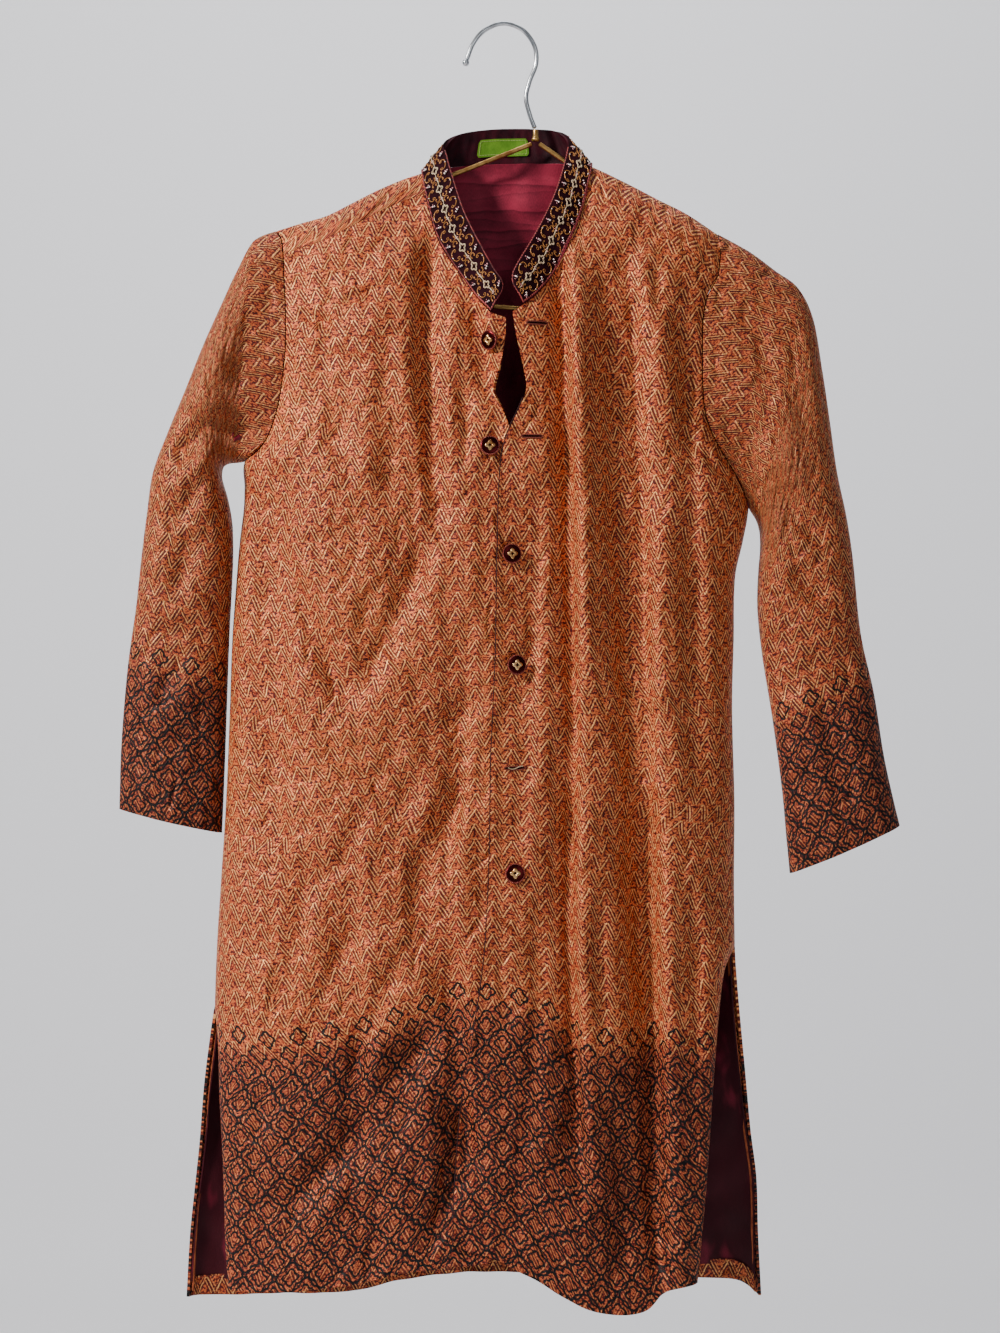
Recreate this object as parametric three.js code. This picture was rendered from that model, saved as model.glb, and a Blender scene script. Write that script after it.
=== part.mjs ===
// A child's kurta on a wire hanger, in millimetres.
// The origin is the inside top of the hook, where a rail or a nail holds it.
// +X is the viewer's right, -Y is the front and +Z is up.
// Heights are written as drops: the distance below the origin.

import * as THREE from "three";

const cloth = 1.8;               // thickness of a lined brocade panel
const satin = 1.0;               // thickness of the lining
const collarLayer = 1.2;         // thickness of each half of the collar
const seamGap = 0.3;             // clearance between neighbouring pieces
const sleeveGap = 0.65;          // the same along the curved armholes
const collarSeam = 0.9;          // the same along the bent collar seam
const frontRoll = 100;           // how far the front takes to swell out from the side
const backRoll = 30;
const shoulderRoll = 18;         // height over which the shoulder rounds off
const lapStep = cloth + 0.8;     // how far the under front lies behind the over front
const lapReach = 18;             // width over which the under front steps back
const lapFull = 5;               // the step is complete this far before the over front's edge
const lapStart = 222;            // drops between which the two fronts come together
const lapEnd = 256;
const liningStart = cloth + seamGap;
const liningEnd = liningStart + satin;
const liningHem = 0.85;           // share of the last row at which the lining ends
const stripStart = liningEnd + seamGap;
const stripThickness = 0.8;
const stripTop = 0.66;           // shares of the last row between which the hem strip lies
const stripHem = 0.97;
const labelWidth = 36;
const labelHeight = 12;
const backCollarHeight = 24;
const labelThickness = 0.5;
const buttonRadius = 6.5;
const shankRadius = 2;
const buttonLift = 0.5;          // clearance under a button's shank
const shoulderShares = [0, 0.17, 0.34, 0.5, 0.66, 0.83, 1];
const ridgeCrowding = 1.8;       // rows lie closer together near the ridge
const wireRadius = 1.5;
const probe = 0.02;              // step used to measure slopes
const edgeBand = 0.04;           // strip along an edge that still counts as the edge
const edgeStep = 0.07;           // slopes are measured at least this far from an edge

// The body's side lines at mid depth, with the depths of front and back.
const bodyRows = [
  { drop: 60, left: -152, right: 147, front: 9, back: 14 },
  { drop: 100, left: -152, right: 147, front: 10, back: 14 },
  { drop: 118, left: -151, right: 147, front: 15, back: 15 },
  { drop: 137, left: -151.5, right: 148, front: 23, back: 15 },
  { drop: 153, left: -151, right: 147.5, front: 29, back: 15 },
  { drop: 168, left: -150, right: 144.5, front: 34, back: 16 },
  { drop: 195, left: -150, right: 138, front: 40, back: 16 },
  { drop: 236, left: -151, right: 137, front: 42, back: 16 },
  { drop: 253, left: -153, right: 139, front: 42, back: 16 },
  { drop: 270, left: -158, right: 146, front: 42, back: 16 },
  { drop: 284, left: -168, right: 152, front: 42, back: 16 },
  { drop: 300, left: -168, right: 157, front: 42, back: 16 },
  { drop: 314, left: -168.5, right: 159.5, front: 42, back: 16 },
  { drop: 335, left: -171, right: 156, front: 42, back: 15 },
  { drop: 358, left: -173, right: 151, front: 42, back: 15 },
  { drop: 400, left: -176, right: 150, front: 42, back: 15 },
  { drop: 444, left: -177.5, right: 149, front: 42, back: 14 },
  { drop: 504, left: -180, right: 150.5, front: 42, back: 14 },
  { drop: 556, left: -183.3, right: 150.2, front: 43, back: 14 },
  { drop: 598, left: -185.9, right: 150.7, front: 44, back: 14 },
  { drop: 638, left: -187.2, right: 151, front: 45, back: 14 },
  { drop: 720, left: -187.2, right: 151, front: 46, back: 14 },
  { drop: 830, left: -187.2, right: 151, front: 48, back: 15 },
];

// Below the slits each panel has its own free edge.
const leftSlitRows = [
  { drop: 638, front: -187.2, frontDepth: 0, back: -187.8, backDepth: 0 },
  { drop: 660, front: -184.6, frontDepth: 6, back: -191.1, backDepth: 2 },
  { drop: 690, front: -182.9, frontDepth: 13, back: -195, backDepth: 4 },
  { drop: 727, front: -180.2, frontDepth: 20, back: -198, backDepth: 5 },
  { drop: 759, front: -178.5, frontDepth: 24, back: -201.5, backDepth: 6 },
  { drop: 788, front: -177.5, frontDepth: 26, back: -204.4, backDepth: 6 },
  { drop: 830, front: -175.1, frontDepth: 28, back: -206.6, backDepth: 6 },
];
const rightSlitRows = [
  { drop: 598, front: 150.7, frontDepth: 0, back: 150.7, backDepth: 0 },
  { drop: 612, front: 143.6, frontDepth: 8, back: 151.6, backDepth: 1 },
  { drop: 638, front: 139.4, frontDepth: 14, back: 153.9, backDepth: 3 },
  { drop: 681, front: 135.4, frontDepth: 19, back: 158, backDepth: 4 },
  { drop: 720, front: 132.4, frontDepth: 23, back: 161.7, backDepth: 5 },
  { drop: 750, front: 129.9, frontDepth: 26, back: 165.5, backDepth: 6 },
  { drop: 786, front: 126.3, frontDepth: 28, back: 166.6, backDepth: 6 },
  { drop: 830, front: 121, frontDepth: 30, back: 168.6, backDepth: 6 },
];

// The shoulder line seen from the front: its ridge, and the seam that lies forward of it.
const shoulderRows = [
  { x: -147, ridge: 133.5, seam: 152 },
  { x: -131.3, ridge: 128.7, seam: 147.4 },
  { x: -113.8, ridge: 123.5, seam: 141.8 },
  { x: -98.2, ridge: 115.6, seam: 134.2 },
  { x: -79.3, ridge: 106.1, seam: 123.7 },
  { x: -64.7, ridge: 100, seam: 116.6 },
  { x: -50.4, ridge: 95.2, seam: 111.7 },
  { x: -25, ridge: 84.5, seam: 104 },
  { x: 0, ridge: 81, seam: 100 },
  { x: 28, ridge: 83, seam: 102 },
  { x: 54.5, ridge: 90.6, seam: 108.8 },
  { x: 77.9, ridge: 101.4, seam: 124 },
  { x: 101.4, ridge: 113.6, seam: 139 },
  { x: 118.7, ridge: 122.3, seam: 151 },
  { x: 139.1, ridge: 135.7, seam: 165.2 },
];
const leftShoulderColumns = [-128, -115, -102, -90, -79, -68, -58];
const rightShoulderColumns = [63, 74, 86, 99, 112, 125];

// The neck seam with the collar's upper edge above each point. side says which half of
// the body the point lies on: -1 front, 1 back.
const neckRows = [
  { x: -8, drop: 192.3, side: -1, topX: 1.2, topY: -38.5, topDrop: 174.8 },
  { x: -17.2, drop: 181.4, side: -1, topX: -5.6, topY: -37, topDrop: 165 },
  { x: -26.7, drop: 167.5, side: -1, topX: -13.2, topY: -34, topDrop: 151 },
  { x: -36.4, drop: 153.2, side: -1, topX: -20.4, topY: -29.5, topDrop: 136.6 },
  { x: -44.2, drop: 136.8, side: -1, topX: -27, topY: -23, topDrop: 120.8 },
  { x: -50.4, drop: 111.7, side: -1, topX: -34, topY: -12, topDrop: 97 },
  { x: -51.8, drop: 103, side: -1, topX: -36.3, topY: -6.5, topDrop: 87.5 },
  { x: -52, drop: 95.9, side: -1, topX: -37.9, topY: -1, topDrop: 79 },
  { x: -45, drop: 93.5, side: 1, topX: -34, topY: 4.5, topDrop: 72.5 },
  { x: -32.9, drop: 91, side: 1, topX: -26, topY: 8, topDrop: 68.2 },
  { x: -10, drop: 89, side: 1, topX: -8, topY: 11, topDrop: 65.2 },
  { x: 15, drop: 88.4, side: 1, topX: 13, topY: 11, topDrop: 64.8 },
  { x: 38.6, drop: 88.8, side: 1, topX: 32, topY: 8, topDrop: 66.4 },
  { x: 50, drop: 90.6, side: 1, topX: 39.5, topY: 4, topDrop: 70 },
  { x: 57, drop: 91.9, side: -1, topX: 42.5, topY: -1, topDrop: 75.5 },
  { x: 56.6, drop: 99.5, side: -1, topX: 41.7, topY: -6, topDrop: 83.5 },
  { x: 54.5, drop: 108.8, side: -1, topX: 39.8, topY: -10.5, topDrop: 92 },
  { x: 48.7, drop: 128.6, side: -1, topX: 34.6, topY: -19, topDrop: 110 },
  { x: 41.7, drop: 146, side: -1, topX: 27.6, topY: -26.5, topDrop: 127.5 },
  { x: 32.2, drop: 165.9, side: -1, topX: 18, topY: -32.5, topDrop: 146 },
  { x: 21.4, drop: 179.9, side: -1, topX: 9.6, topY: -36.5, topDrop: 160.5 },
  { x: 13.2, drop: 186.8, side: -1, topX: 4.6, topY: -38.5, topDrop: 171 },
];
const leftSeamRow = 5;           // neck row where the left shoulder seam ends
const rightSeamRow = 16;         // neck row where the right shoulder seam ends
const underNeckEnd = { x: 1.8, drop: 195.4 };
const overNeckEnd = { x: 6.1, drop: 192 };

// Armhole seams from the shoulder ridge to the underarm point.
const leftArmhole = [
  { x: -147, drop: 133.5 },
  { x: -143, drop: 141 },
  { x: -141.5, drop: 152 },
  { x: -140.6, drop: 169.2 },
  { x: -139.4, drop: 189.6 },
  { x: -139.4, drop: 209.9 },
  { x: -141.3, drop: 229.1 },
  { x: -144, drop: 246.4 },
  { x: -147.5, drop: 259 },
  { x: -152.5, drop: 270.6 },
  { x: -159.5, drop: 279 },
  { x: -168, drop: 284 },
];
const rightArmhole = [
  { x: 139.1, drop: 135.7 },
  { x: 140, drop: 150 },
  { x: 138.3, drop: 164.7 },
  { x: 131.5, drop: 177.5 },
  { x: 128.4, drop: 192 },
  { x: 127.9, drop: 213 },
  { x: 128.2, drop: 236.2 },
  { x: 130, drop: 254 },
  { x: 135.9, drop: 270.4 },
  { x: 144.6, drop: 285 },
  { x: 153, drop: 299 },
  { x: 159.5, drop: 314 },
];
const seamPoint = 2;             // row of both armholes where the shoulder seam ends

// Free front edges from neck to hem.
const underEdge = [
  { x: 1.8, drop: 195.4 },
  { x: 1.4, drop: 207 },
  { x: -1.3, drop: 223.3 },
  { x: -6, drop: 240.5 },
  { x: -1.5, drop: 252 },
  { x: 4.5, drop: 266 },
  { x: 10.7, drop: 292.8 },
  { x: 14.5, drop: 346 },
  { x: 16.2, drop: 414 },
  { x: 15, drop: 501 },
  { x: 15.2, drop: 560 },
  { x: 10.7, drop: 628 },
  { x: 1.2, drop: 691 },
  { x: -6, drop: 754 },
  { x: -9.5, drop: 793.2 },
];
const overEdge = [
  { x: 6.1, drop: 192 },
  { x: 8.8, drop: 209 },
  { x: 12.9, drop: 227.5 },
  { x: 14.8, drop: 239.5 },
  { x: 11.4, drop: 250.5 },
  { x: 3, drop: 269.5 },
  { x: -1.3, drop: 289.3 },
  { x: -3.4, drop: 350 },
  { x: -4.5, drop: 413 },
  { x: -7.2, drop: 475 },
  { x: -8.3, drop: 539 },
  { x: -11.6, drop: 600 },
  { x: -20.9, drop: 665 },
  { x: -27.2, drop: 703 },
  { x: -30.3, drop: 750 },
  { x: -31, drop: 784 },
];

// Hems, from the viewer's left to right.
const underHem = [
  { x: -175.1, drop: 813.4 },
  { x: -148.1, drop: 812.5 },
  { x: -120.7, drop: 809.6 },
  { x: -94.4, drop: 806.2 },
  { x: -65.4, drop: 799.5 },
  { x: -36.7, drop: 796 },
  { x: -9.5, drop: 793.2 },
];
const overHem = [
  { x: -31, drop: 784 },
  { x: -16, drop: 786.7 },
  { x: -2.6, drop: 791 },
  { x: 10, drop: 798 },
  { x: 24, drop: 805 },
  { x: 38, drop: 813.8 },
  { x: 51.5, drop: 821 },
  { x: 66, drop: 824.9 },
  { x: 81, drop: 825.7 },
  { x: 92, drop: 823 },
  { x: 103, drop: 811 },
  { x: 122.3, drop: 805 },
];
const backHem = [
  { x: -206.6, drop: 828 },
  { x: -150, drop: 828 },
  { x: -95, drop: 825.5 },
  { x: -68, drop: 819 },
  { x: -15, drop: 813.5 },
  { x: 64, drop: 815.5 },
  { x: 131, drop: 817.5 },
  { x: 155, drop: 819 },
  { x: 168.6, drop: 827 },
];

// Large folds of the front: a trough's line, its half width and how deep it goes in.
const frontFolds = [
  { x: [-47, -46, -40], drop: [138, 205, 286], width: 8, depth: 7 },
  { x: [-130, -105, -84], drop: [350, 407, 460], width: 10, depth: 3.5 },
  { x: [-20, -46, -78], drop: [404, 430, 452], width: 9, depth: 3.5 },
  { x: [-24, -44, -55], drop: [440, 510, 585], width: 12, depth: 5 },
  { x: [-130, -140, -151], drop: [571, 612, 654], width: 10, depth: 3 },
  { x: [-36, -84, -141], drop: [628, 708, 768], width: 13, depth: 9 },
  { x: [36, 40, 38], drop: [185, 330, 470], width: 5, depth: 4 },
  { x: [38, 36, 50], drop: [470, 600, 730], width: 6, depth: 4 },
  { x: [62, 74, 87], drop: [170, 330, 540], width: 9, depth: 9 },
  { x: [87, 99, 104], drop: [540, 680, 830], width: 10, depth: 12 },
  { x: [87, 93, 97], drop: [170, 254, 350], width: 8, depth: 3 },
  { x: [113, 118, 120], drop: [188, 222, 262], width: 7, depth: 4 },
];

// Three soft folds of the back; a trough goes forward, into the body.
const backFolds = [
  { x: [-70, -78, -90], drop: [230, 480, 800], width: 14, depth: 4 },
  { x: [12, 8, 14], drop: [210, 450, 760], width: 12, depth: 3.5 },
  { x: [76, 84, 92], drop: [260, 520, 810], width: 15, depth: 4.5 },
];

// Sleeves: outer and inner edge and the depths in front and behind, from cap to cuff.
const leftSleeveRows = [
  { outX: -147, outDrop: 133.5, inX: -168, inDrop: 284, front: 20, back: 12 },
  { outX: -161.5, outDrop: 139.5, inX: -172, inDrop: 284.3, front: 21, back: 12 },
  { outX: -173.5, outDrop: 161, inX: -176, inDrop: 284.6, front: 23, back: 13 },
  { outX: -184, outDrop: 184, inX: -179.5, inDrop: 285.5, front: 25, back: 13 },
  { outX: -195, outDrop: 209, inX: -182, inDrop: 288, front: 27, back: 13 },
  { outX: -205, outDrop: 234, inX: -182.5, inDrop: 295, front: 27, back: 13 },
  { outX: -218.5, outDrop: 266.5, inX: -179, inDrop: 307, front: 25, back: 13 },
  { outX: -227.5, outDrop: 291, inX: -176, inDrop: 323, front: 24, back: 13 },
  { outX: -231.5, outDrop: 318, inX: -175.3, inDrop: 343, front: 23, back: 12 },
  { outX: -235, outDrop: 346, inX: -176.2, inDrop: 367, front: 22, back: 12 },
  { outX: -238.5, outDrop: 378, inX: -177.8, inDrop: 397, front: 20, back: 11 },
  { outX: -244, outDrop: 418, inX: -179.2, inDrop: 436, front: 19, back: 11 },
  { outX: -248, outDrop: 466, inX: -180.8, inDrop: 482, front: 17, back: 11 },
  { outX: -249.4, outDrop: 509, inX: -182.6, inDrop: 524.6, front: 16, back: 11 },
];
const rightSleeveRows = [
  { outX: 139.1, outDrop: 135.7, inX: 159.5, inDrop: 314, front: 20, back: 12 },
  { outX: 159.3, outDrop: 146.5, inX: 161, inDrop: 316, front: 22, back: 12 },
  { outX: 177, outDrop: 159.5, inX: 162.6, inDrop: 318.5, front: 24, back: 13 },
  { outX: 191.5, outDrop: 170.5, inX: 164.4, inDrop: 321.5, front: 26, back: 13 },
  { outX: 201.3, outDrop: 190, inX: 166, inDrop: 326, front: 27, back: 13 },
  { outX: 207.1, outDrop: 222.3, inX: 167, inDrop: 332, front: 27, back: 13 },
  { outX: 212.2, outDrop: 256.1, inX: 167, inDrop: 342, front: 26, back: 13 },
  { outX: 217.1, outDrop: 290.4, inX: 166, inDrop: 354, front: 25, back: 13 },
  { outX: 223.2, outDrop: 319.2, inX: 165.3, inDrop: 368, front: 24, back: 12 },
  { outX: 227.5, outDrop: 347.8, inX: 165.6, inDrop: 384, front: 23, back: 12 },
  { outX: 232.5, outDrop: 395, inX: 168.8, inDrop: 412, front: 21, back: 11 },
  { outX: 241.1, outDrop: 434, inX: 175, inDrop: 450, front: 20, back: 11 },
  { outX: 247.5, outDrop: 474, inX: 181, inDrop: 494, front: 18, back: 11 },
  { outX: 253.5, outDrop: 501.8, inX: 184.2, inDrop: 528, front: 17, back: 11 },
  { outX: 257.9, outDrop: 519.9, inX: 186.4, inDrop: 550.9, front: 16, back: 11 },
];

// Folds across the sleeves' fronts.
const leftSleeveFolds = [
  { x: [-160, -190, -214], drop: [262, 263, 288], width: 6, depth: 6 },
  { x: [-196, -204, -212], drop: [330, 350, 372], width: 6, depth: 3 },
];
const rightSleeveFolds = [
  { x: [150, 166, 178], drop: [262, 292, 318], width: 7, depth: 6 },
  { x: [186, 196, 208], drop: [352, 366, 374], width: 6, depth: 3.5 },
];

// Hook: the wire's centre line from its ball tip to the ferrule.
const hookLine = [
  { x: -23.4, drop: 21.8 },
  { x: -19.6, drop: 12 },
  { x: -12.5, drop: 3.4 },
  { x: 0, drop: -1.5 },
  { x: 12.5, drop: 2.6 },
  { x: 20.4, drop: 13 },
  { x: 21.6, drop: 24.5 },
  { x: 17.4, drop: 36 },
  { x: 15, drop: 47 },
  { x: 17.6, drop: 58.5 },
  { x: 20.6, drop: 66.3 },
];
const ferruleTop = { x: 21.2, drop: 67.5 };
const ferruleLength = 7.7;
const ferruleRadius = 2.6;

const hookSteps = 30;
const bendSteps = 5;
const tipRadius = 2.3;

// Arms and lower bar: one open loop of wire below the ferrule.
const frameCorners = [
  { x: 23.9, drop: 77, round: 0 },
  { x: 54.5, drop: 97.8, round: 8 },
  { x: 189, drop: 174.5, round: 10 },
  { x: 187, drop: 197, round: 10 },
  { x: -160, drop: 171, round: 10 },
  { x: -163, drop: 148.3, round: 10 },
  { x: 18.5, drop: 77, round: 0 },
];

// Buttons: #1 and #2 are open, on the under front; the others hold the over front.
const buttonPlaces = [
  { name: "button_1", x: -7, drop: 209.8, under: true },
  { name: "button_2", x: -8.4, drop: 277.3, under: true },
  { name: "button_3", x: 4.6, drop: 345.4, under: false },
  { name: "button_4", x: 7.5, drop: 415.4, under: false },
  { name: "button_6", x: 7.5, drop: 547.8, under: false },
];
const labelX = -0.5;

const materials = {
  rust: new THREE.MeshStandardMaterial({ color: 0xa0623f, roughness: 0.6, metalness: 0.1 }),
  aubergine: new THREE.MeshStandardMaterial({ color: 0x3a121c, roughness: 0.7, metalness: 0 }),
  maroon: new THREE.MeshStandardMaterial({ color: 0x64232d, roughness: 0.4, metalness: 0 }),
  gold: new THREE.MeshStandardMaterial({ color: 0xb08a4c, roughness: 0.5, metalness: 0.2 }),
  green: new THREE.MeshStandardMaterial({ color: 0x3d5a3c, roughness: 0.7, metalness: 0 }),
  button: new THREE.MeshStandardMaterial({ color: 0x6b2a26, roughness: 0.3, metalness: 0.1 }),
  steel: new THREE.MeshStandardMaterial({ color: 0xc8ccd0, roughness: 0.25, metalness: 1 }),
  brass: new THREE.MeshStandardMaterial({ color: 0xc9a86a, roughness: 0.3, metalness: 1 }),
};

const kurta = new THREE.Group();

// ---------------------------------------------------------------- tables and curves

// Smooth value of a column at a key, through the rows on both sides of it.
function at(rows, keyColumn, key, column) {
  const last = rows.length - 1;
  if (key <= rows[0][keyColumn]) {
    return rows[0][column];
  }
  if (key >= rows[last][keyColumn]) {
    return rows[last][column];
  }
  let i = 0;
  while (rows[i + 1][keyColumn] < key) {
    i += 1;
  }
  const slope = (a, b) => (rows[b][column] - rows[a][column]) / (rows[b][keyColumn] - rows[a][keyColumn]);
  const step = rows[i + 1][keyColumn] - rows[i][keyColumn];
  const first = slope(Math.max(i - 1, 0), i + 1) * step;
  const second = slope(i, Math.min(i + 2, last)) * step;
  return hermite(rows[i][column], rows[i + 1][column], first, second, (key - rows[i][keyColumn]) / step);
}

function hermite(start, end, startSlope, endSlope, t) {
  const rise = 3 * t * t - 2 * t * t * t;
  return start + (end - start) * rise + startSlope * (t ** 3 - 2 * t * t + t) + endSlope * (t ** 3 - t * t);
}

// Smooth value of a column at a fractional row number.
function atRow(rows, row, column) {
  const last = rows.length - 1;
  const i = Math.min(Math.floor(row), last - 1);
  const before = rows[Math.max(i - 1, 0)][column];
  const after = rows[Math.min(i + 2, last)][column];
  const start = rows[i][column];
  const end = rows[i + 1][column];
  return hermite(start, end, (end - before) / 2, (after - start) / 2, row - i);
}

// Point of a line of {x, drop} points at a share of its length.
function alongLine(line, share) {
  const lengths = [0];
  for (let i = 1; i < line.length; i += 1) {
    const piece = Math.hypot(line[i].x - line[i - 1].x, line[i].drop - line[i - 1].drop);
    lengths.push(lengths[i - 1] + piece);
  }
  const wanted = share * lengths[line.length - 1];
  let i = 1;
  while (i < line.length - 1 && lengths[i] < wanted) {
    i += 1;
  }
  const t = THREE.MathUtils.clamp((wanted - lengths[i - 1]) / (lengths[i] - lengths[i - 1]), 0, 1);
  return {
    x: THREE.MathUtils.lerp(line[i - 1].x, line[i].x, t),
    drop: THREE.MathUtils.lerp(line[i - 1].drop, line[i].drop, t),
  };
}

// Quarter ellipse: 0 at an edge, 1 from one roll's width on.
function swell(distance, roll) {
  const rest = 1 - THREE.MathUtils.clamp((distance - edgeBand) / roll, 0, 1);
  return Math.sqrt(1 - rest * rest);
}

// How far a list of folds pushes the cloth in at a place. A fold runs through three points,
// is a soft trough across and fades out at both ends.
function foldDepth(folds, x, drop) {
  let total = 0;
  for (const fold of folds) {
    let nearest = Infinity;
    let along = 0;
    for (const i of [0, 1]) {
      const runX = fold.x[i + 1] - fold.x[i];
      const runDrop = fold.drop[i + 1] - fold.drop[i];
      const share = ((x - fold.x[i]) * runX + (drop - fold.drop[i]) * runDrop) / (runX ** 2 + runDrop ** 2);
      const t = THREE.MathUtils.clamp(share, 0, 1);
      const away = Math.hypot(x - fold.x[i] - t * runX, drop - fold.drop[i] - t * runDrop);
      if (away < nearest) {
        nearest = away;
        along = (i + t) / 2;
      }
    }
    const start = THREE.MathUtils.smoothstep(along, -0.1, 0.25);
    const end = 1 - THREE.MathUtils.smoothstep(along, 0.75, 1.1);
    total += fold.depth * start * end * Math.exp(-((nearest / fold.width) ** 2));
  }
  return total;
}

// ---------------------------------------------------------------- the body's skin

function sideLine(drop, side, face) {
  const slit = side === "left" ? leftSlitRows : rightSlitRows;
  if (drop > slit[0].drop) {
    return at(slit, "drop", drop, face);
  }
  return at(bodyRows, "drop", drop, side);
}

function edgeDepth(drop, side, face) {
  const slit = side === "left" ? leftSlitRows : rightSlitRows;
  return at(slit, "drop", drop, face + "Depth");
}

// Depth of one face at a place: edge depths, swell from both sides and from the ridge, folds.
function bodyDepth(face, x, drop) {
  const roll = face === "front" ? frontRoll : backRoll;
  const left = sideLine(drop, "left", face);
  const right = sideLine(drop, "right", face);
  const across = THREE.MathUtils.clamp((x - left) / (right - left), 0, 1);
  const leftEdge = edgeDepth(drop, "left", face);
  const rightEdge = edgeDepth(drop, "right", face);
  const edge = leftEdge * (1 - across) + rightEdge * across;
  const middle = at(bodyRows, "drop", drop, face);
  const sides = swell(x - left, roll) * swell(right - x, roll);
  const top = swell(drop - at(shoulderRows, "x", x, "ridge"), shoulderRoll);
  const folds = foldDepth(face === "front" ? frontFolds : backFolds, x, drop);
  return ((edge + (middle - edge) * sides) - folds * sides) * top;
}

// Outer point of a face with the direction into the cloth.
function bodyPoint(face, x, drop) {
  const sign = face === "front" ? -1 : 1;
  const depth = (px, pd) => sign * (seamGap / 2 + bodyDepth(face, px, pd));
  const left = sideLine(drop, "left", face) + edgeStep;
  const right = sideLine(drop, "right", face) - edgeStep;
  const nearX = THREE.MathUtils.clamp(x, left, right);
  const nearDrop = Math.max(drop, at(shoulderRows, "x", nearX, "ridge") + edgeStep);
  const slopeX = (depth(nearX + probe, nearDrop) - depth(nearX - probe, nearDrop)) / (2 * probe);
  const slopeDrop = (depth(nearX, nearDrop + probe) - depth(nearX, nearDrop - probe)) / (2 * probe);
  const inward = new THREE.Vector3(-slopeX, 1, slopeDrop).multiplyScalar(-sign).normalize();
  return { point: new THREE.Vector3(x, depth(x, drop), -drop), inward };
}

// The back reaches over the ridge: a height above the ridge means the front side.
function wrapPoint(x, height) {
  const ridge = at(shoulderRows, "x", x, "ridge");
  return height < ridge ? bodyPoint("front", x, 2 * ridge - height) : bodyPoint("back", x, height);
}

// ---------------------------------------------------------------- walls

function closedGeometry(points, faces) {
  const geometry = new THREE.BufferGeometry();
  const flat = points.flatMap((p) => [p.x, p.y, p.z]);
  geometry.setAttribute("position", new THREE.Float32BufferAttribute(flat, 3));
  geometry.setIndex(faces);
  geometry.computeVertexNormals();
  return geometry;
}

// A wall on a grid of {point, inward}: outer skin, inner skin and the rims between them.
// loops says that the last column meets the first; flip turns the faces over.
function wallGeometry(grid, from, to, { loops = false, flip = false } = {}) {
  const rows = grid.length;
  const columns = grid[0].length;
  const points = [];
  for (const depth of [from, to]) {
    for (const row of grid) {
      for (const { point, inward } of row) {
        points.push(point.clone().addScaledVector(inward, depth));
      }
    }
  }
  const faces = [];
  const quad = (a, b, c, d) => faces.push(...(flip ? [a, c, b, a, d, c] : [a, b, c, a, c, d]));
  const outer = (r, c) => r * columns + (c % columns);
  const inner = (r, c) => rows * columns + outer(r, c);
  const spans = loops ? columns : columns - 1;
  for (let r = 0; r < rows - 1; r += 1) {
    for (let c = 0; c < spans; c += 1) {
      quad(outer(r, c), outer(r + 1, c), outer(r + 1, c + 1), outer(r, c + 1));
      quad(inner(r, c), inner(r, c + 1), inner(r + 1, c + 1), inner(r + 1, c));
    }
  }
  for (let c = 0; c < spans; c += 1) {
    quad(outer(0, c), outer(0, c + 1), inner(0, c + 1), inner(0, c));
    quad(outer(rows - 1, c), inner(rows - 1, c), inner(rows - 1, c + 1), outer(rows - 1, c + 1));
  }
  for (let r = 0; !loops && r < rows - 1; r += 1) {
    quad(outer(r, 0), inner(r, 0), inner(r + 1, 0), outer(r + 1, 0));
    quad(outer(r, spans), outer(r + 1, spans), inner(r + 1, spans), inner(r, spans));
  }
  return closedGeometry(points, faces);
}

function addPiece(name, geometry, material) {
  const mesh = new THREE.Mesh(geometry, material);
  mesh.name = name;
  kurta.add(mesh);
  return mesh;
}

// Panel between a top line, a hem and one point for each row on the left and right edge:
// the blend of all four, as {x, drop}.
function panelGrid(lines, columns, place) {
  const rowShares = pointShares(lines.rowLine);
  const across = (line, key, u) => (1 - u) * line[0][key] + u * line[line.length - 1][key];
  return rowShares.map((v, row) => columns.map((u) => {
    const top = alongLine(lines.top, u);
    const hem = alongLine(lines.hem, hemShareFor(lines.top, u));
    const blend = (key) =>
      (1 - v) * (top[key] - across(lines.top, key, u)) + v * (hem[key] - across(lines.hem, key, u))
      + (1 - u) * lines.left[row][key] + u * lines.right[row][key];
    return place(blend("x"), blend("drop"), v);
  }));
}

// Shares of a line's length at its own points.
function pointShares(line) {
  const shares = [0];
  for (let i = 1; i < line.length; i += 1) {
    shares.push(shares[i - 1] + Math.hypot(line[i].x - line[i - 1].x, line[i].drop - line[i - 1].drop));
  }
  return shares.map((share) => share / shares[line.length - 1]);
}

// Even shares from 0 to 1.
function ladder(count) {
  return Array.from({ length: count + 1 }, (_, i) => i / count);
}

// ---------------------------------------------------------------- neck and shoulder lines

const neck = neckRows.map((_, row) => neckPlace(row));

function neckPlace(row) {
  return {
    x: atRow(neckRows, row, "x"),
    drop: atRow(neckRows, row, "drop"),
    side: Math.max(neckRows[Math.floor(row)].side, neckRows[Math.ceil(row)].side),
  };
}

function seamLine(columns) {
  return columns.map((x) => ({ x, drop: at(shoulderRows, "x", x, "seam") }));
}

// ---------------------------------------------------------------- fronts and back

// Columns near the side edge, where the cloth turns, as shares of the first span.
const sideColumns = [0.22];

function withSideColumns(shares, atStart) {
  const span = atStart ? shares[1] : 1 - shares[shares.length - 2];
  const extra = sideColumns.map((share) => (atStart ? share * span : 1 - share * span));
  return [...shares, ...extra].sort((a, b) => a - b);
}

const sideRows = 14;             // rows from the underarm to the hem
const seamLeft = leftArmhole[seamPoint];
const seamRight = rightArmhole[seamPoint];

// x of the over front's free edge at a drop.
function overLine(drop) {
  return at(overEdge, "drop", drop, "x");
}

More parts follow.
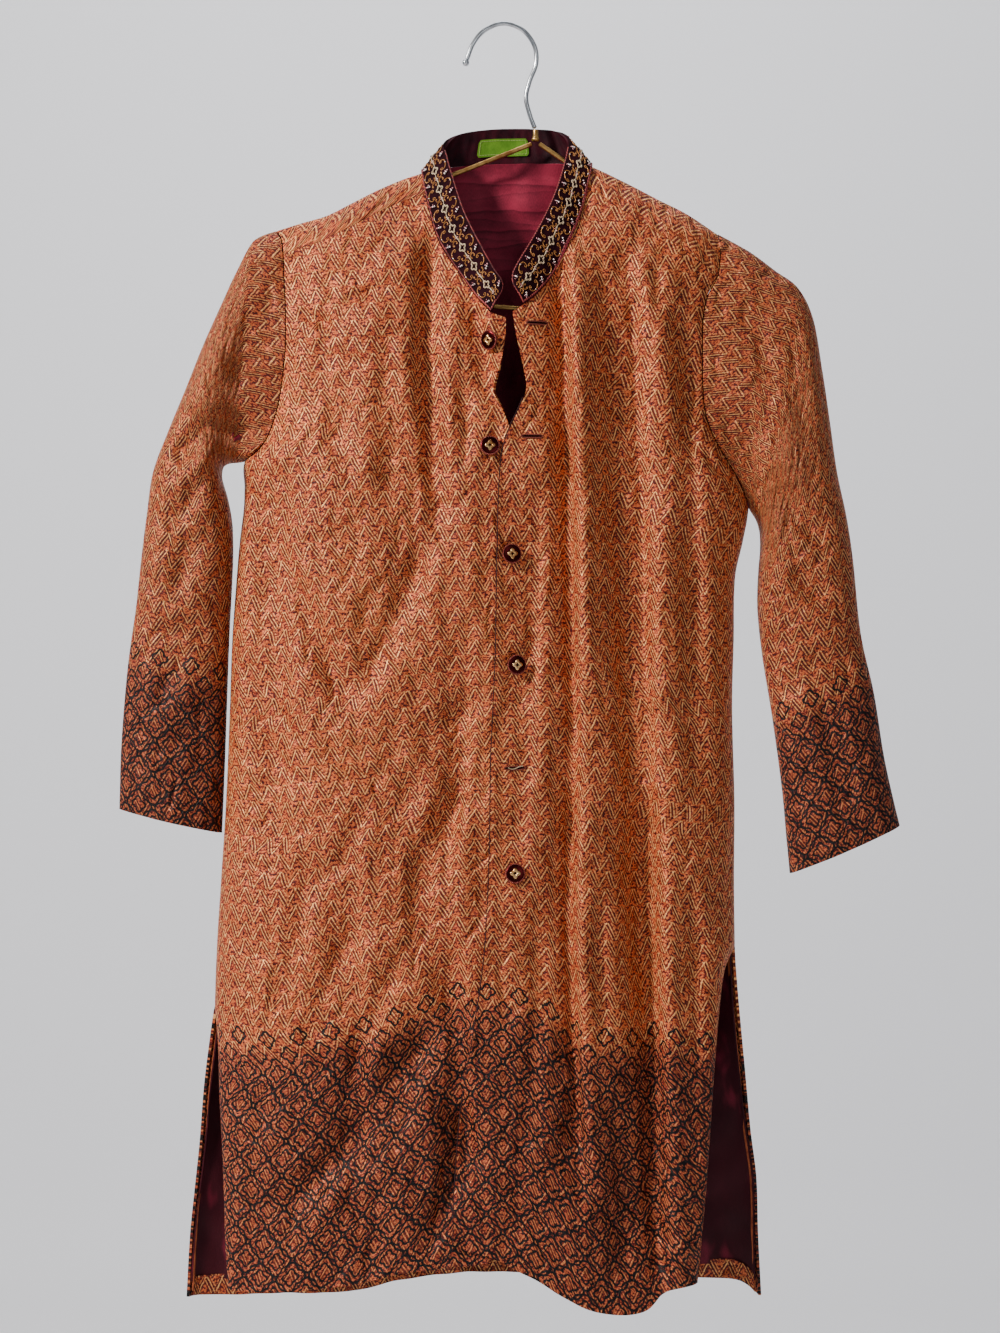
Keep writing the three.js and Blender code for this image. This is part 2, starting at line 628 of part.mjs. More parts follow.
// How far the under front lies behind the common skin.
function underStep(x, drop) {
  const below = THREE.MathUtils.smoothstep(drop, lapStart, lapEnd);
  const line = overLine(drop);
  return lapStep * below * THREE.MathUtils.smoothstep(x, line - lapReach, line - lapFull);
}

// The armhole from the shoulder seam, then the side seam and the slit's edge to the hem.
function sideEdge(armhole, side, face, corner) {
  const underarm = armhole[armhole.length - 1].drop;
  const drops = ladder(sideRows).slice(1, -1).map((share) => underarm + share * (corner.drop - underarm));
  const seam = drops.map((drop) => ({ x: sideLine(drop, side, face), drop }));
  return [...armhole.slice(seamPoint), ...seam, corner];
}

// Share of the hem that lies under a share of the top edge: mostly by how far across it is.
function hemShareFor(top, u) {
  const across = (alongLine(top, u).x - top[0].x) / (top[top.length - 1].x - top[0].x);
  return THREE.MathUtils.lerp(u, THREE.MathUtils.clamp(across, 0, 1), 0.6);
}

function frontUnder() {
  const shoulder = seamLine(leftShoulderColumns);
  const necking = neck.slice(0, leftSeamRow + 1).reverse();
  const left = sideEdge(leftArmhole, "left", "front", underHem[0]);
  const lines = {
    top: [seamLeft, ...shoulder, ...necking, underNeckEnd],
    hem: underHem,
    left,
    rowLine: left,
    right: pointShares(left).map((share) => alongLine(underEdge, share)),
  };
  const columns = withSideColumns(pointShares(lines.top), true);
  return panelGrid(lines, columns, (x, drop, v) => {
    const { point, inward } = bodyPoint("front", x, drop + seamGap * (1 - v));
    return { point: point.addScaledVector(inward, underStep(x, drop)), inward };
  });
}

function frontOver() {
  const shoulder = seamLine(rightShoulderColumns);
  const necking = neck.slice(rightSeamRow).reverse();
  const right = sideEdge(rightArmhole, "right", "front", overHem[overHem.length - 1]);
  const lines = {
    top: [overNeckEnd, ...necking, ...shoulder, seamRight],
    hem: overHem,
    left: pointShares(right).map((share) => alongLine(overEdge, share)),
    rowLine: right,
    right,
  };
  const columns = withSideColumns(pointShares(lines.top), false);
  return panelGrid(lines, columns, (x, drop, v) => bodyPoint("front", x, drop + seamGap * (1 - v)));
}

// The same place on the front side of the shoulder, as a height above the ridge.
function foldedOver({ x, drop }) {
  return { x, drop: 2 * at(shoulderRows, "x", x, "ridge") - drop };
}

// Upper edge of the back: forward shoulder seams and the back of the neck.
const backTop = [
  seamLeft,
  ...seamLine(leftShoulderColumns),
  ...neck.slice(leftSeamRow, rightSeamRow + 1),
  ...seamLine(rightShoulderColumns),
  seamRight,
].map((place) => (place.side > 0 ? place : foldedOver(place)));

// Line across the back, level with the forward seams, under each point of the upper edge.
const yokeLine = backTop.map((place, i) => {
  const before = backTop[Math.max(i - 1, 0)].x;
  const after = backTop[Math.min(i + 1, backTop.length - 1)].x;
  const x = i === 0 || i === backTop.length - 1 ? place.x : (before + 2 * place.x + after) / 4;
  return { x, drop: at(shoulderRows, "x", x, "seam") };
});
yokeLine[0] = seamLeft;
yokeLine[yokeLine.length - 1] = seamRight;

// Points of the back between its upper edge and the yoke line: over the ridge at half way.
function shoulderGrid(columns) {
  return shoulderShares.map((share) => columns.map((u) => {
    const top = alongLine(backTop, u);
    const yoke = atShare(yokeLine, pointShares(backTop), u);
    const swing = 2 * share - 1;
    let x = THREE.MathUtils.lerp(top.x, yoke.x, share);
    const ridge = at(shoulderRows, "x", x, "ridge");
    if (top.drop >= at(shoulderRows, "x", top.x, "ridge")) {
      return wrapPoint(x, THREE.MathUtils.lerp(top.drop, yoke.drop, share));
    }
    for (const [armhole, weight] of [[leftArmhole, (1 - u) ** 8], [rightArmhole, u ** 8]]) {
      const seam = armhole[seamPoint];
      const drop = armhole[0].drop + Math.abs(swing) ** ridgeCrowding * (seam.drop - armhole[0].drop);
      x += weight * (at(armhole, "drop", drop, "x") - seam.x);
    }
    const reach = swing < 0 ? ridge - top.drop : yoke.drop - ridge;
    const away = Math.sign(swing) * Math.abs(swing) ** ridgeCrowding * reach;
    return wrapPoint(x, at(shoulderRows, "x", x, "ridge") + away);
  }));
}

// Point of a line whose points lie at given shares.
function atShare(line, shares, share) {
  const rows = line.map((place, i) => ({ ...place, share: shares[i] }));
  let i = 1;
  while (i < rows.length - 1 && rows[i].share < share) {
    i += 1;
  }
  const t = (share - rows[i - 1].share) / (rows[i].share - rows[i - 1].share);
  return {
    x: THREE.MathUtils.lerp(rows[i - 1].x, rows[i].x, t),
    drop: THREE.MathUtils.lerp(rows[i - 1].drop, rows[i].drop, t),
  };
}

const backColumns = withSideColumns(withSideColumns(pointShares(backTop), true), false);

function backGrid() {
  const left = sideEdge(leftArmhole, "left", "back", backHem[0]);
  const right = sideEdge(rightArmhole, "right", "back", backHem[backHem.length - 1]);
  const yoke = backColumns.map((u) => atShare(yokeLine, pointShares(backTop), u));
  const lines = { top: yoke, hem: backHem, left, right, rowLine: left };
  const body = panelGrid(lines, pointShares(yoke), (x, drop) => bodyPoint("back", x, drop));
  return [...shoulderGrid(backColumns).slice(0, -1), ...body];
}

const back = backGrid();

// Part way from one row of a grid to the next.
function rowBetween(grid, row, share) {
  return grid[row].map(({ point, inward }, i) => ({
    point: point.clone().lerp(grid[row + 1][i].point, share),
    inward: inward.clone().lerp(grid[row + 1][i].inward, share).normalize(),
  }));
}

addPiece("front_under", wallGeometry(frontUnder(), 0, cloth), materials.rust);
addPiece("front_over", wallGeometry(frontOver(), 0, cloth), materials.rust);
addPiece("back", wallGeometry(back, 0, cloth, { flip: true }), materials.rust);

// Lining and hem strip follow the back's own points, moved in.
const lastSpan = back.length - 2;
const lining = [...back.slice(0, -1), rowBetween(back, lastSpan, liningHem)];
addPiece("lining_back", wallGeometry(lining, liningStart, liningEnd, { flip: true }), materials.maroon);
const strip = [stripTop, stripHem].map((share) => rowBetween(back, lastSpan, share).slice(1, -1));
const stripWall = wallGeometry(strip, stripStart, stripStart + stripThickness, { flip: true });
addPiece("hem_facing", stripWall, materials.gold);

// ---------------------------------------------------------------- sleeves

const sleeveRowStep = 0.87;

// Point of a sleeve: turn runs around it from the outer edge over the front, row runs down it.
function sleevePlace(sleeve, turn, row) {
  const angle = 2 * Math.PI * turn;
  const swing = Math.sin(angle);
  const face = swing >= 0 ? "front" : "back";
  const share = (1 - Math.cos(angle)) / 2;
  const value = (column) => atRow(sleeve.rows, row, column);
  const mix = (start, end) => THREE.MathUtils.lerp(value(start), value(end), share);
  const x = mix("outX", "inX");
  const drop = mix("outDrop", "inDrop");
  const swellDepth = Math.abs(swing) * value(face);
  const folded = face === "front" ? foldDepth(sleeve.folds, x, drop) * swing : 0;
  const hanging = new THREE.Vector3(x, (face === "front" ? -1 : 1) * (swellDepth - folded), -drop);
  if (row >= 1) {
    return hanging;
  }
  const armhole = sleeve.armhole;
  const seamDrop = THREE.MathUtils.lerp(armhole[0].drop, armhole[armhole.length - 1].drop, share);
  const seamX = onLine(armhole, seamDrop);
  const slope = (onLine(armhole, seamDrop + 1) - onLine(armhole, seamDrop - 1)) / 2;
  const out = new THREE.Vector2(sleeve.sign, sleeve.sign * slope).normalize().multiplyScalar(sleeveGap);
  const seam = bodyPoint(face, seamX, seamDrop).point;
  seam.x += out.x;
  seam.z += out.y;
  return seam.lerp(hanging, THREE.MathUtils.smoothstep(row, -0.3, 1.0) * row);
}

// x of a descending line of straight pieces at a drop.
function onLine(line, drop) {
  let i = 1;
  while (i < line.length - 1 && line[i].drop < drop) {
    i += 1;
  }
  const share = (drop - line[i - 1].drop) / (line[i].drop - line[i - 1].drop);
  return THREE.MathUtils.lerp(line[i - 1].x, line[i].x, share);
}

// Turns that put a column at every point of the armhole, in front and behind.
function sleeveTurns(armhole) {
  const height = armhole[armhole.length - 1].drop - armhole[0].drop;
  const front = armhole.map((place) => {
    const share = (place.drop - armhole[0].drop) / height;
    return Math.acos(THREE.MathUtils.clamp(1 - 2 * share, -1, 1)) / (2 * Math.PI);
  });
  const behind = front.slice(1, -1).reverse().map((turn) => 1 - turn);
  return [...front, ...behind];
}

function sleeveGrid(sleeve) {
  const lastRow = sleeve.rows.length - 1;
  const rowCount = Math.round(lastRow / sleeveRowStep);
  return ladder(rowCount).map((share) => {
    const row = share * lastRow;
    const centre = sleevePlace(sleeve, 0, row).add(sleevePlace(sleeve, 0.5, row)).multiplyScalar(0.5);
    return sleeveTurns(sleeve.armhole).map((turn) => {
      const point = sleevePlace(sleeve, turn, row);
      const around = sleevePlace(sleeve, turn + 0.002, row).sub(sleevePlace(sleeve, turn - 0.002, row));
      const down = sleevePlace(sleeve, turn, Math.min(row + 0.02, lastRow))
        .sub(sleevePlace(sleeve, turn, Math.max(row - 0.02, 0)));
      const inward = around.cross(down).normalize();
      if (inward.dot(centre.clone().sub(point)) < 0) {
        inward.negate();
      }
      return { point, inward };
    });
  });
}

const sleeves = [
  { name: "sleeve_right", rows: leftSleeveRows, armhole: leftArmhole, folds: leftSleeveFolds, sign: -1 },
  { name: "sleeve_left", rows: rightSleeveRows, armhole: rightArmhole, folds: rightSleeveFolds, sign: 1 },
];
for (const sleeve of sleeves) {
  const flip = sleeve.sign > 0;
  addPiece(sleeve.name, wallGeometry(sleeveGrid(sleeve), 0, cloth, { loops: true, flip }), materials.rust);
}

// ---------------------------------------------------------------- collar and label

const collarHalfGap = seamGap / 2;
const collarShares = [0, 0.3, 0.65, 1];
const collarBulge = 0.8;
const collarCorner = 0.5;        // neck rows over which the upper corners are rounded
const slopeStep = 0.05;          // neck rows over which the collar's direction is measured
const collarDetail = 2;          // steps between two neck rows

function collarPoint(row, share) {
  const lastRow = neckRows.length - 1;
  const place = neckPlace(row);
  const base = bodyPoint(place.side < 0 ? "front" : "back", place.x, place.drop).point;
  const top = new THREE.Vector3(
    atRow(neckRows, row, "topX"),
    atRow(neckRows, row, "topY"),
    -atRow(neckRows, row, "topDrop"),
  );
  const height = base.distanceTo(top);
  const fromEnd = Math.min(row, lastRow - row) / collarCorner;
  const corner = 1 - 0.22 * (1 - swell(fromEnd, 1));
  const start = collarSeam / height;
  return base.lerp(top, start + (corner - start) * share);
}

function collarGrid(rowShares, heightShares) {
  const centre = new THREE.Vector3(2, -14, -115);
  const lastRow = neckRows.length - 1;
  return heightShares.map((share) => rowShares.map((row) => {
    const point = collarPoint(row, share);
    const before = collarPoint(Math.max(row - slopeStep, 0), share);
    const along = collarPoint(Math.min(row + slopeStep, lastRow), share).sub(before);
    const up = collarPoint(row, 1).sub(collarPoint(row, 0));
    const inward = along.cross(up).normalize();
    if (inward.dot(centre.clone().sub(point)) < 0) {
      inward.negate();
    }
    point.addScaledVector(inward, -collarBulge * Math.sin(Math.PI * share));
    return { point, inward };
  }));
}

const collarRows = ladder((neckRows.length - 1) * collarDetail).map((share) => share * (neckRows.length - 1));
const collar = collarGrid(collarRows, collarShares);
addPiece("collar", wallGeometry(collar, -collarHalfGap - collarLayer, -collarHalfGap), materials.aubergine);
addPiece("collar_facing", wallGeometry(collar, collarHalfGap, collarHalfGap + collarLayer), materials.maroon);

const labelStart = collarHalfGap + collarLayer + seamGap;
const labelRows = ladder(6).map((share) => rowOfX(labelX + (share - 0.5) * labelWidth));

// Fractional neck row behind a place at the back of the neck.
function rowOfX(x) {
  const backRows = neckRows.map((row, i) => ({ ...row, i })).filter((row) => row.side > 0);
  return at(backRows, "x", x, "i");
}

const labelMiddle = 0.47;
const labelReach = labelHeight / backCollarHeight / 2;
const label = collarGrid(labelRows, [labelMiddle - labelReach, labelMiddle, labelMiddle + labelReach]);
addPiece("label", wallGeometry(label, labelStart, labelStart + labelThickness), materials.green);

// ---------------------------------------------------------------- buttons

const buttonProfile = [
  [0, 0], [shankRadius, 0], [shankRadius, 1.4], [5.6, 1.6],
  [buttonRadius, 2.4], [5.9, 3.6], [4.4, 4.3], [0, 4.6],
].map(([radius, height]) => new THREE.Vector2(radius, height));

for (const place of buttonPlaces) {
  const { point, inward } = bodyPoint("front", place.x, place.drop);
  const depth = place.under ? underStep(place.x - shankRadius, place.drop) : 0;
  const button = addPiece(place.name, new THREE.LatheGeometry(buttonProfile, 12), materials.button);
  button.position.copy(point.addScaledVector(inward, depth - buttonLift));
  button.quaternion.setFromUnitVectors(new THREE.Vector3(0, 1, 0), inward.clone().negate());
}

// ---------------------------------------------------------------- hanger

function toSpace({ x, drop }) {
  return new THREE.Vector3(x, 0, -drop);
}

// A path that puts one section at each of its points.
class BentWire extends THREE.Curve {
  constructor(points) {
    super();
    this.points = points;
  }

  getPoint(share) {
    const last = this.points.length - 1;
    const i = Math.min(Math.floor(share * last + 1e-9), last - 1);
    return this.points[i].clone().lerp(this.points[i + 1], share * last - i);
  }

  getPointAt(share) {
    return this.getPoint(share);
  }

  getTangentAt(share) {
    const half = 0.5 / (this.points.length - 1);
    const ahead = this.getPoint(Math.min(share + half, 1));
    return ahead.sub(this.getPoint(Math.max(share - half, 0))).normalize();
  }
}

function wire(points) {
  const section = new THREE.Shape();
  section.absarc(0, 0, wireRadius, 0, 2 * Math.PI, false);
  const extrudePath = new BentWire(points);
  return new THREE.ExtrudeGeometry(section, {
    steps: points.length - 1,
    extrudePath,
    curveSegments: 4,
    bevelEnabled: false,
  });
}

// Straight stretches with a round bend at each inner corner.
function bentPoints(corners) {
  const points = [toSpace(corners[0])];
  for (let i = 1; i < corners.length - 1; i += 1) {
    const corner = toSpace(corners[i]);
    const next = toSpace(corners[i + 1]);
    const last = points[points.length - 1].clone();
    const before = corner.clone().add(last.sub(corner).setLength(corners[i].round));
    const after = corner.clone().add(next.sub(corner).setLength(corners[i].round));
    points.push(...new THREE.QuadraticBezierCurve3(before, corner, after).getPoints(bendSteps));
  }
  return [...points, toSpace(corners[corners.length - 1])];
}

const hookPoints = new THREE.CatmullRomCurve3(hookLine.map(toSpace)).getSpacedPoints(hookSteps);
addPiece("hanger_hook", wire(hookPoints), materials.steel);

const tipBall = addPiece("hanger_tip", new THREE.SphereGeometry(tipRadius, 8, 6), materials.steel);
const tipAway = toSpace(hookLine[0]).sub(toSpace(hookLine[1])).setLength(tipRadius + seamGap);
tipBall.position.copy(toSpace(hookLine[0]).add(tipAway));

const ferruleForm = new THREE.CylinderGeometry(ferruleRadius, ferruleRadius, ferruleLength, 16);
const ferrule = addPiece("hanger_ferrule", ferruleForm, materials.brass);
ferrule.rotation.x = Math.PI / 2;
ferrule.position.copy(toSpace({ x: ferruleTop.x, drop: ferruleTop.drop + ferruleLength / 2 }));

addPiece("hanger_frame", wire(bentPoints(frameCorners)), materials.brass);

export default kurta;
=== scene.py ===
import math

import bpy
import numpy as np
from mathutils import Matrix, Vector


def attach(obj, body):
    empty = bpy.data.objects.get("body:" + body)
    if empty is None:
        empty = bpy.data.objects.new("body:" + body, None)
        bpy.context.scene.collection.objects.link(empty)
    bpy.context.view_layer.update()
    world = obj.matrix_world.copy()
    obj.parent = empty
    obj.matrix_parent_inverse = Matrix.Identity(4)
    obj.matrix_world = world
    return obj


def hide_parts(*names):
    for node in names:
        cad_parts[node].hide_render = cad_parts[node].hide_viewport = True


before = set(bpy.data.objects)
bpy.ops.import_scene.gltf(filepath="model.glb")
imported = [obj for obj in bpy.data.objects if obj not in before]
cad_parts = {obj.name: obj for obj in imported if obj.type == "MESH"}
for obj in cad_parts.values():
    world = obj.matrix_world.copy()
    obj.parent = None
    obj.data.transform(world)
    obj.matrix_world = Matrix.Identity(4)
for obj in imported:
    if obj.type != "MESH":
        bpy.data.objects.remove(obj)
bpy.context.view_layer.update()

# A child's lined brocade kurta on a wire hanger. Shapes are worked out in millimetres,
# with the origin inside the top of the hook, -Y the front, and drops counted downwards.

metre = 0.001
cloth = {
    "brocade": 1.8,       # thickness of a lined front, back or sleeve
    "satin": 1.0,         # thickness of the back's lining
    "seam": 0.3,          # clearance at a seam
    "armholeSeam": 0.65,
    "collarSeam": 0.9,
    "grain": 2.3,         # size of a mesh cell
    "crowd": 22.0,        # width beside a rounded side where the cells are narrower
    "ripple": 0.68,       # height of the cloth's small unevenness
}


def settings(**values):
    # a dictionary written with plain names
    return values


# small helpers

def ease(value, low, high):
    # 0 below low, 1 above high, with a soft start and end
    t = np.clip((value - low) / (high - low), 0, 1)
    return t * t * (3 - 2 * t)


def mix(start, end, share):
    # straight blend: start at share 0, end at share 1
    return start + (end - start) * share


def hermite(start, end, startSlope, endSlope, t):
    # cubic between two values with given slopes at both
    rise = 3 * t**2 - 2 * t**3
    return start + (end - start) * rise + startSlope * (t**3 - 2 * t**2 + t) + endSlope * (t**3 - t**2)


def smoothAt(rows, key, column):
    # smooth curve through a table's rows, looked up by its first column
    keys, values = rows[:, 0], rows[:, column]
    key = np.clip(key, keys[0], keys[-1])
    i = np.clip(np.searchsorted(keys, key) - 1, 0, len(keys) - 2)
    before, after = np.maximum(i - 1, 0), np.minimum(i + 2, len(keys) - 1)
    step = keys[i + 1] - keys[i]
    first = (values[i + 1] - values[before]) / (keys[i + 1] - keys[before]) * step
    second = (values[after] - values[i]) / (keys[after] - keys[i]) * step
    return hermite(values[i], values[i + 1], first, second, (key - keys[i]) / step)


def lengthsAlong(points):
    # running length of a line at each of its points
    steps = np.linalg.norm(np.diff(points, axis=0), axis=1)
    return np.concatenate([[0], np.cumsum(steps)])


def curveThrough(points, spacing=1.5):
    # smooth line through a few points, as many close points
    points = np.asarray(points, float)
    lengths = lengthsAlong(points)
    table = np.column_stack([lengths, points])
    keys = np.linspace(0, lengths[-1], max(3, int(lengths[-1] / spacing) + 1))
    return np.column_stack([smoothAt(table, keys, k + 1) for k in range(points.shape[1])])


def columnsAt(wanted, keys, table):
    # each column of a table, read off in straight steps at the wanted keys
    return np.stack([np.interp(wanted, keys, column) for column in table.T], axis=-1)


def alongLine(line, share):
    # point at a share of a line's length
    lengths = lengthsAlong(line)
    return columnsAt(np.asarray(share) * lengths[-1], lengths, line)


def unit(vectors):
    # vectors over their own length
    return vectors / np.maximum(np.linalg.norm(vectors, axis=-1, keepdims=True), 1e-12)


# the garment's tables

# drop, left and right side line, depth of front and back
bodyRows = np.array([
    [60, -152, 147, 9, 14], [100, -152, 147, 10, 14], [118, -151, 147, 15, 15],
    [137, -151.5, 148, 23, 15], [153, -151, 147.5, 29, 15], [168, -150, 144.5, 34, 16],
    [195, -150, 138, 40, 16], [236, -151, 137, 42, 16], [253, -153, 139, 42, 16],
    [270, -158, 146, 42, 16], [284, -168, 152, 42, 16], [300, -168, 157, 42, 16],
    [314, -168.5, 159.5, 42, 16], [335, -171, 156, 42, 15], [358, -173, 151, 42, 15],
    [400, -176, 150, 42, 15], [444, -177.5, 149, 42, 14], [504, -180, 150.5, 42, 14],
    [556, -183.3, 150.2, 43, 14], [598, -185.9, 150.7, 44, 14], [638, -187.2, 151, 45, 14],
    [720, -187.2, 151, 46, 14], [830, -187.2, 151, 48, 15],
])

# the free edges beside the slits: drop, front edge and its depth, back edge and its depth
slitRows = {
    "left": np.array([
        [638, -187.2, 0, -187.8, 0], [660, -184.6, 6, -191.1, 2], [690, -182.9, 13, -195, 4],
        [727, -180.2, 20, -198, 5], [759, -178.5, 24, -201.5, 6], [788, -177.5, 26, -204.4, 6],
        [830, -175.1, 28, -206.6, 6],
    ]),
    "right": np.array([
        [598, 150.7, 0, 150.7, 0], [612, 143.6, 8, 151.6, 1], [638, 139.4, 14, 153.9, 3],
        [681, 135.4, 19, 158, 4], [720, 132.4, 23, 161.7, 5], [750, 129.9, 26, 165.5, 6],
        [786, 126.3, 28, 166.6, 6], [830, 121, 30, 168.6, 6],
    ]),
}

# x, the shoulder's ridge and the seam that lies forward of it
shoulderRows = np.array([
    [-147, 133.5, 152], [-131.3, 128.7, 147.4], [-113.8, 123.5, 141.8], [-98.2, 115.6, 134.2],
    [-79.3, 106.1, 123.7], [-64.7, 100, 116.6], [-50.4, 95.2, 111.7], [-25, 84.5, 104],
    [0, 81, 100], [28, 83, 102], [54.5, 90.6, 108.8], [77.9, 101.4, 124],
    [101.4, 113.6, 139], [118.7, 122.3, 151], [139.1, 135.7, 165.2],
])
seamEnds = {"left": (-141.5, -50.4), "right": (54.5, 138.3)}      # x where each seam starts and ends

# row number, neck seam (x, drop, -1 front or 1 back), collar's upper edge (x, y, drop)
neckRows = np.array([
    [0, -8, 192.3, -1, 1.2, -38.5, 174.8], [1, -17.2, 181.4, -1, -5.6, -37, 165],
    [2, -26.7, 167.5, -1, -13.2, -34, 151], [3, -36.4, 153.2, -1, -20.4, -29.5, 136.6],
    [4, -44.2, 136.8, -1, -27, -23, 120.8], [5, -50.4, 111.7, -1, -34, -12, 97],
    [6, -51.8, 103, -1, -36.3, -6.5, 87.5], [7, -52, 95.9, -1, -37.9, -1, 79],
    [8, -45, 93.5, 1, -34, 4.5, 72.5], [9, -32.9, 91, 1, -26, 8, 68.2],
    [10, -10, 89, 1, -8, 11, 65.2], [11, 15, 88.4, 1, 13, 11, 64.8],
    [12, 38.6, 88.8, 1, 32, 8, 66.4], [13, 50, 90.6, 1, 39.5, 4, 70],
    [14, 57, 91.9, -1, 42.5, -1, 75.5], [15, 56.6, 99.5, -1, 41.7, -6, 83.5],
    [16, 54.5, 108.8, -1, 39.8, -10.5, 92], [17, 48.7, 128.6, -1, 34.6, -19, 110],
    [18, 41.7, 146, -1, 27.6, -26.5, 127.5], [19, 32.2, 165.9, -1, 18, -32.5, 146],
    [20, 21.4, 179.9, -1, 9.6, -36.5, 160.5], [21, 13.2, 186.8, -1, 4.6, -38.5, 171],
])
leftSeamRow, rightSeamRow = 5, 16      # neck rows where the shoulder seams end
backFirst, backLast = 7, 14            # neck rows between which the band lies behind

# armholes from the shoulder's ridge to the underarm: x, drop
armholes = {
    "left": np.array([
        [-147, 133.5], [-143, 141], [-141.5, 152], [-140.6, 169.2], [-139.4, 189.6], [-139.4, 209.9],
        [-141.3, 229.1], [-144, 246.4], [-147.5, 259], [-152.5, 270.6], [-159.5, 279], [-168, 284],
    ]),
    "right": np.array([
        [139.1, 135.7], [140, 150], [138.3, 164.7], [131.5, 177.5], [128.4, 192], [127.9, 213],
        [128.2, 236.2], [130, 254], [135.9, 270.4], [144.6, 285], [153, 299], [159.5, 314],
    ]),
}
seamPoint = 2                          # point of the armhole where the shoulder seam ends

# free front edges from neck to hem, and hems from left to right: x, drop
underEdge = [
    [1.8, 195.4], [1.4, 207], [-1.3, 223.3], [-6, 240.5], [-1.5, 252], [4.5, 266], [10.7, 292.8],
    [14.5, 346], [16.2, 414], [15, 501], [15.2, 560], [10.7, 628], [1.2, 691], [-6, 754], [-9.5, 793.2],
]
overEdge = [
    [6.1, 192], [8.8, 209], [12.9, 227.5], [14.8, 239.5], [11.4, 250.5], [3, 269.5], [-1.3, 289.3],
    [-3.4, 350], [-4.5, 413], [-7.2, 475], [-8.3, 539], [-11.6, 600], [-20.9, 665], [-27.2, 703],
    [-30.3, 750], [-31, 784],
]
underHem = [
    [-175.1, 813.4], [-148.1, 812.5], [-120.7, 809.6], [-94.4, 806.2], [-65.4, 799.5], [-36.7, 796],
    [-9.5, 793.2],
]
overHem = [
    [-31, 784], [-16, 786.7], [-2.6, 791], [10, 798], [24, 805], [38, 813.8], [51.5, 821],
    [66, 825.4], [81, 826.6], [92, 824], [102, 814.5], [109, 811.6], [124, 809.6],
]
backHem = [
    [-206.6, 828], [-150, 828], [-95, 825.5], [-68, 819], [-15, 813.5], [64, 815.5], [131, 817.5],
    [155, 819], [168.6, 827],
]

# folds: three x, three drops, half width, depth; a negative depth is a ridge
frontFolds = np.array([
    [-47, -48, -42, 138, 220, 345, 9, 11], [-138, -118, -97, 348, 398, 447, 9, 6.2],
    [-46, -70, -95, 330, 388, 445, 9, 5.6], [-5, -42, -72, 430, 458, 522, 9, 3.8],
    [-14, -44, -54, 480, 530, 600, 10, 4.2], [-122, -131, -143, 530, 590, 655, 9, 4.4],
    [-36, -84, -141, 628, 708, 768, 13, 11], [-20, -30, -52, 690, 742, 788, 9, 4.2],
    [36, 41, 45, 150, 310, 470, 4, 2.5], [43, 41, 50, 455, 590, 740, 4, 2.5],
    [66, 72, 84, 170, 330, 520, 7, 4.4], [84, 96, 103, 520, 680, 830, 9, 8.8],
    [87, 93, 97, 170, 254, 350, 8, 5.6], [113, 118, 120, 188, 222, 262, 7, 7.5],
    [-131, -121, -108, 187, 195, 199, 3.6, 5], [-102, -92, -80, 184, 180, 178, 3.6, 4.2],
    [-56, -55, -56, 530, 558, 584, 8, 4.4], [-96, -112, -125, 587, 622, 660, 7, 4],
    [-78, -81, -84, 748, 776, 803, 6, 4.2], [-154, -153, -153, 292, 340, 388, 6, 4.2],
    [47, 50, 54, 159, 286, 413, 7, -3.8], [99, 99, 98, 158, 175, 192, 4, 3.2],
    [-122, -108, -98, 214, 250, 300, 10, 4.2], [-72, -76, -72, 190, 250, 330, 8, 3.8],
    [-88, -100, -128, 500, 540, 566, 6, 3.5], [-60, -95, -128, 672, 726, 786, 9, -5],
    [118, 122, 127, 330, 420, 520, 9, 5], [24, 20, 8, 560, 660, 770, 8, 4.2],
    [70, 76, 72, 690, 740, 820, 8, 5], [122, 127, 131, 560, 640, 720, 7, 4.2],
    [-112, -96, -74, 462, 486, 492, 5, 3.2], [-92, -84, -66, 404, 372, 356, 5, 3],
    [-60, -84, -100, 592, 640, 700, 7, 4.5], [-160, -150, -132, 430, 470, 486, 6, 3.5],
    [-150, -158, -160, 676, 720, 790, 6, 3.8], [64, 60, 66, 545, 600, 660, 6, 3.8],
    [20, 22, 16, 300, 360, 440, 6, 3.2], [-112, -130, -138, 130, 156, 190, 7, 3],
    [128, 140, 150, 250, 272, 292, 4, 5], [118, 132, 146, 270, 284, 297, 3.6, 3.8],
    [-93, -72, -50, 291, 290, 293, 3, -1.8], [-118, -100, -80, 214, 222, 226, 4, 2.6],
    [96, 112, 122, 142, 160, 190, 6, 2.8], [-28, -22, -30, 232, 262, 300, 6, 3.5],
])
# broad folds that lean over: three x, three drops, width before and past the line, depth
frontSweeps = np.array([
    [79, 89, 92, 150, 375, 560, 24, 6.5, 14.5], [92, 95, 99, 500, 680, 830, 24, 7, 18],
    [37, 42, 45, 140, 312, 480, 13, 4, 9.4], [45, 42, 50, 455, 600, 760, 15, 4.5, 9.4],
    [-30, -13, -5, 150, 215, 275, 20, 6, 9.4], [-21, -27, -40, 392, 476, 560, 15, 6, 7.2],
    [118, 121, 124, 200, 300, 420, 12, 5, 5.8], [-100, -94, -92, 520, 640, 770, 16, 7, 5.2],
    [-34, -29, -22, 560, 640, 760, 16, 6, 7.2], [12, 16, 10, 300, 420, 560, 14, 6, 3.8],
    [-144, -145, -146, 285, 400, 560, 20, 10, 9],
    [-66, -58, -52, 230, 330, 420, 15, 7, 4.6], [120, 123, 124, 560, 660, 780, 13, 5, 6.4],
])
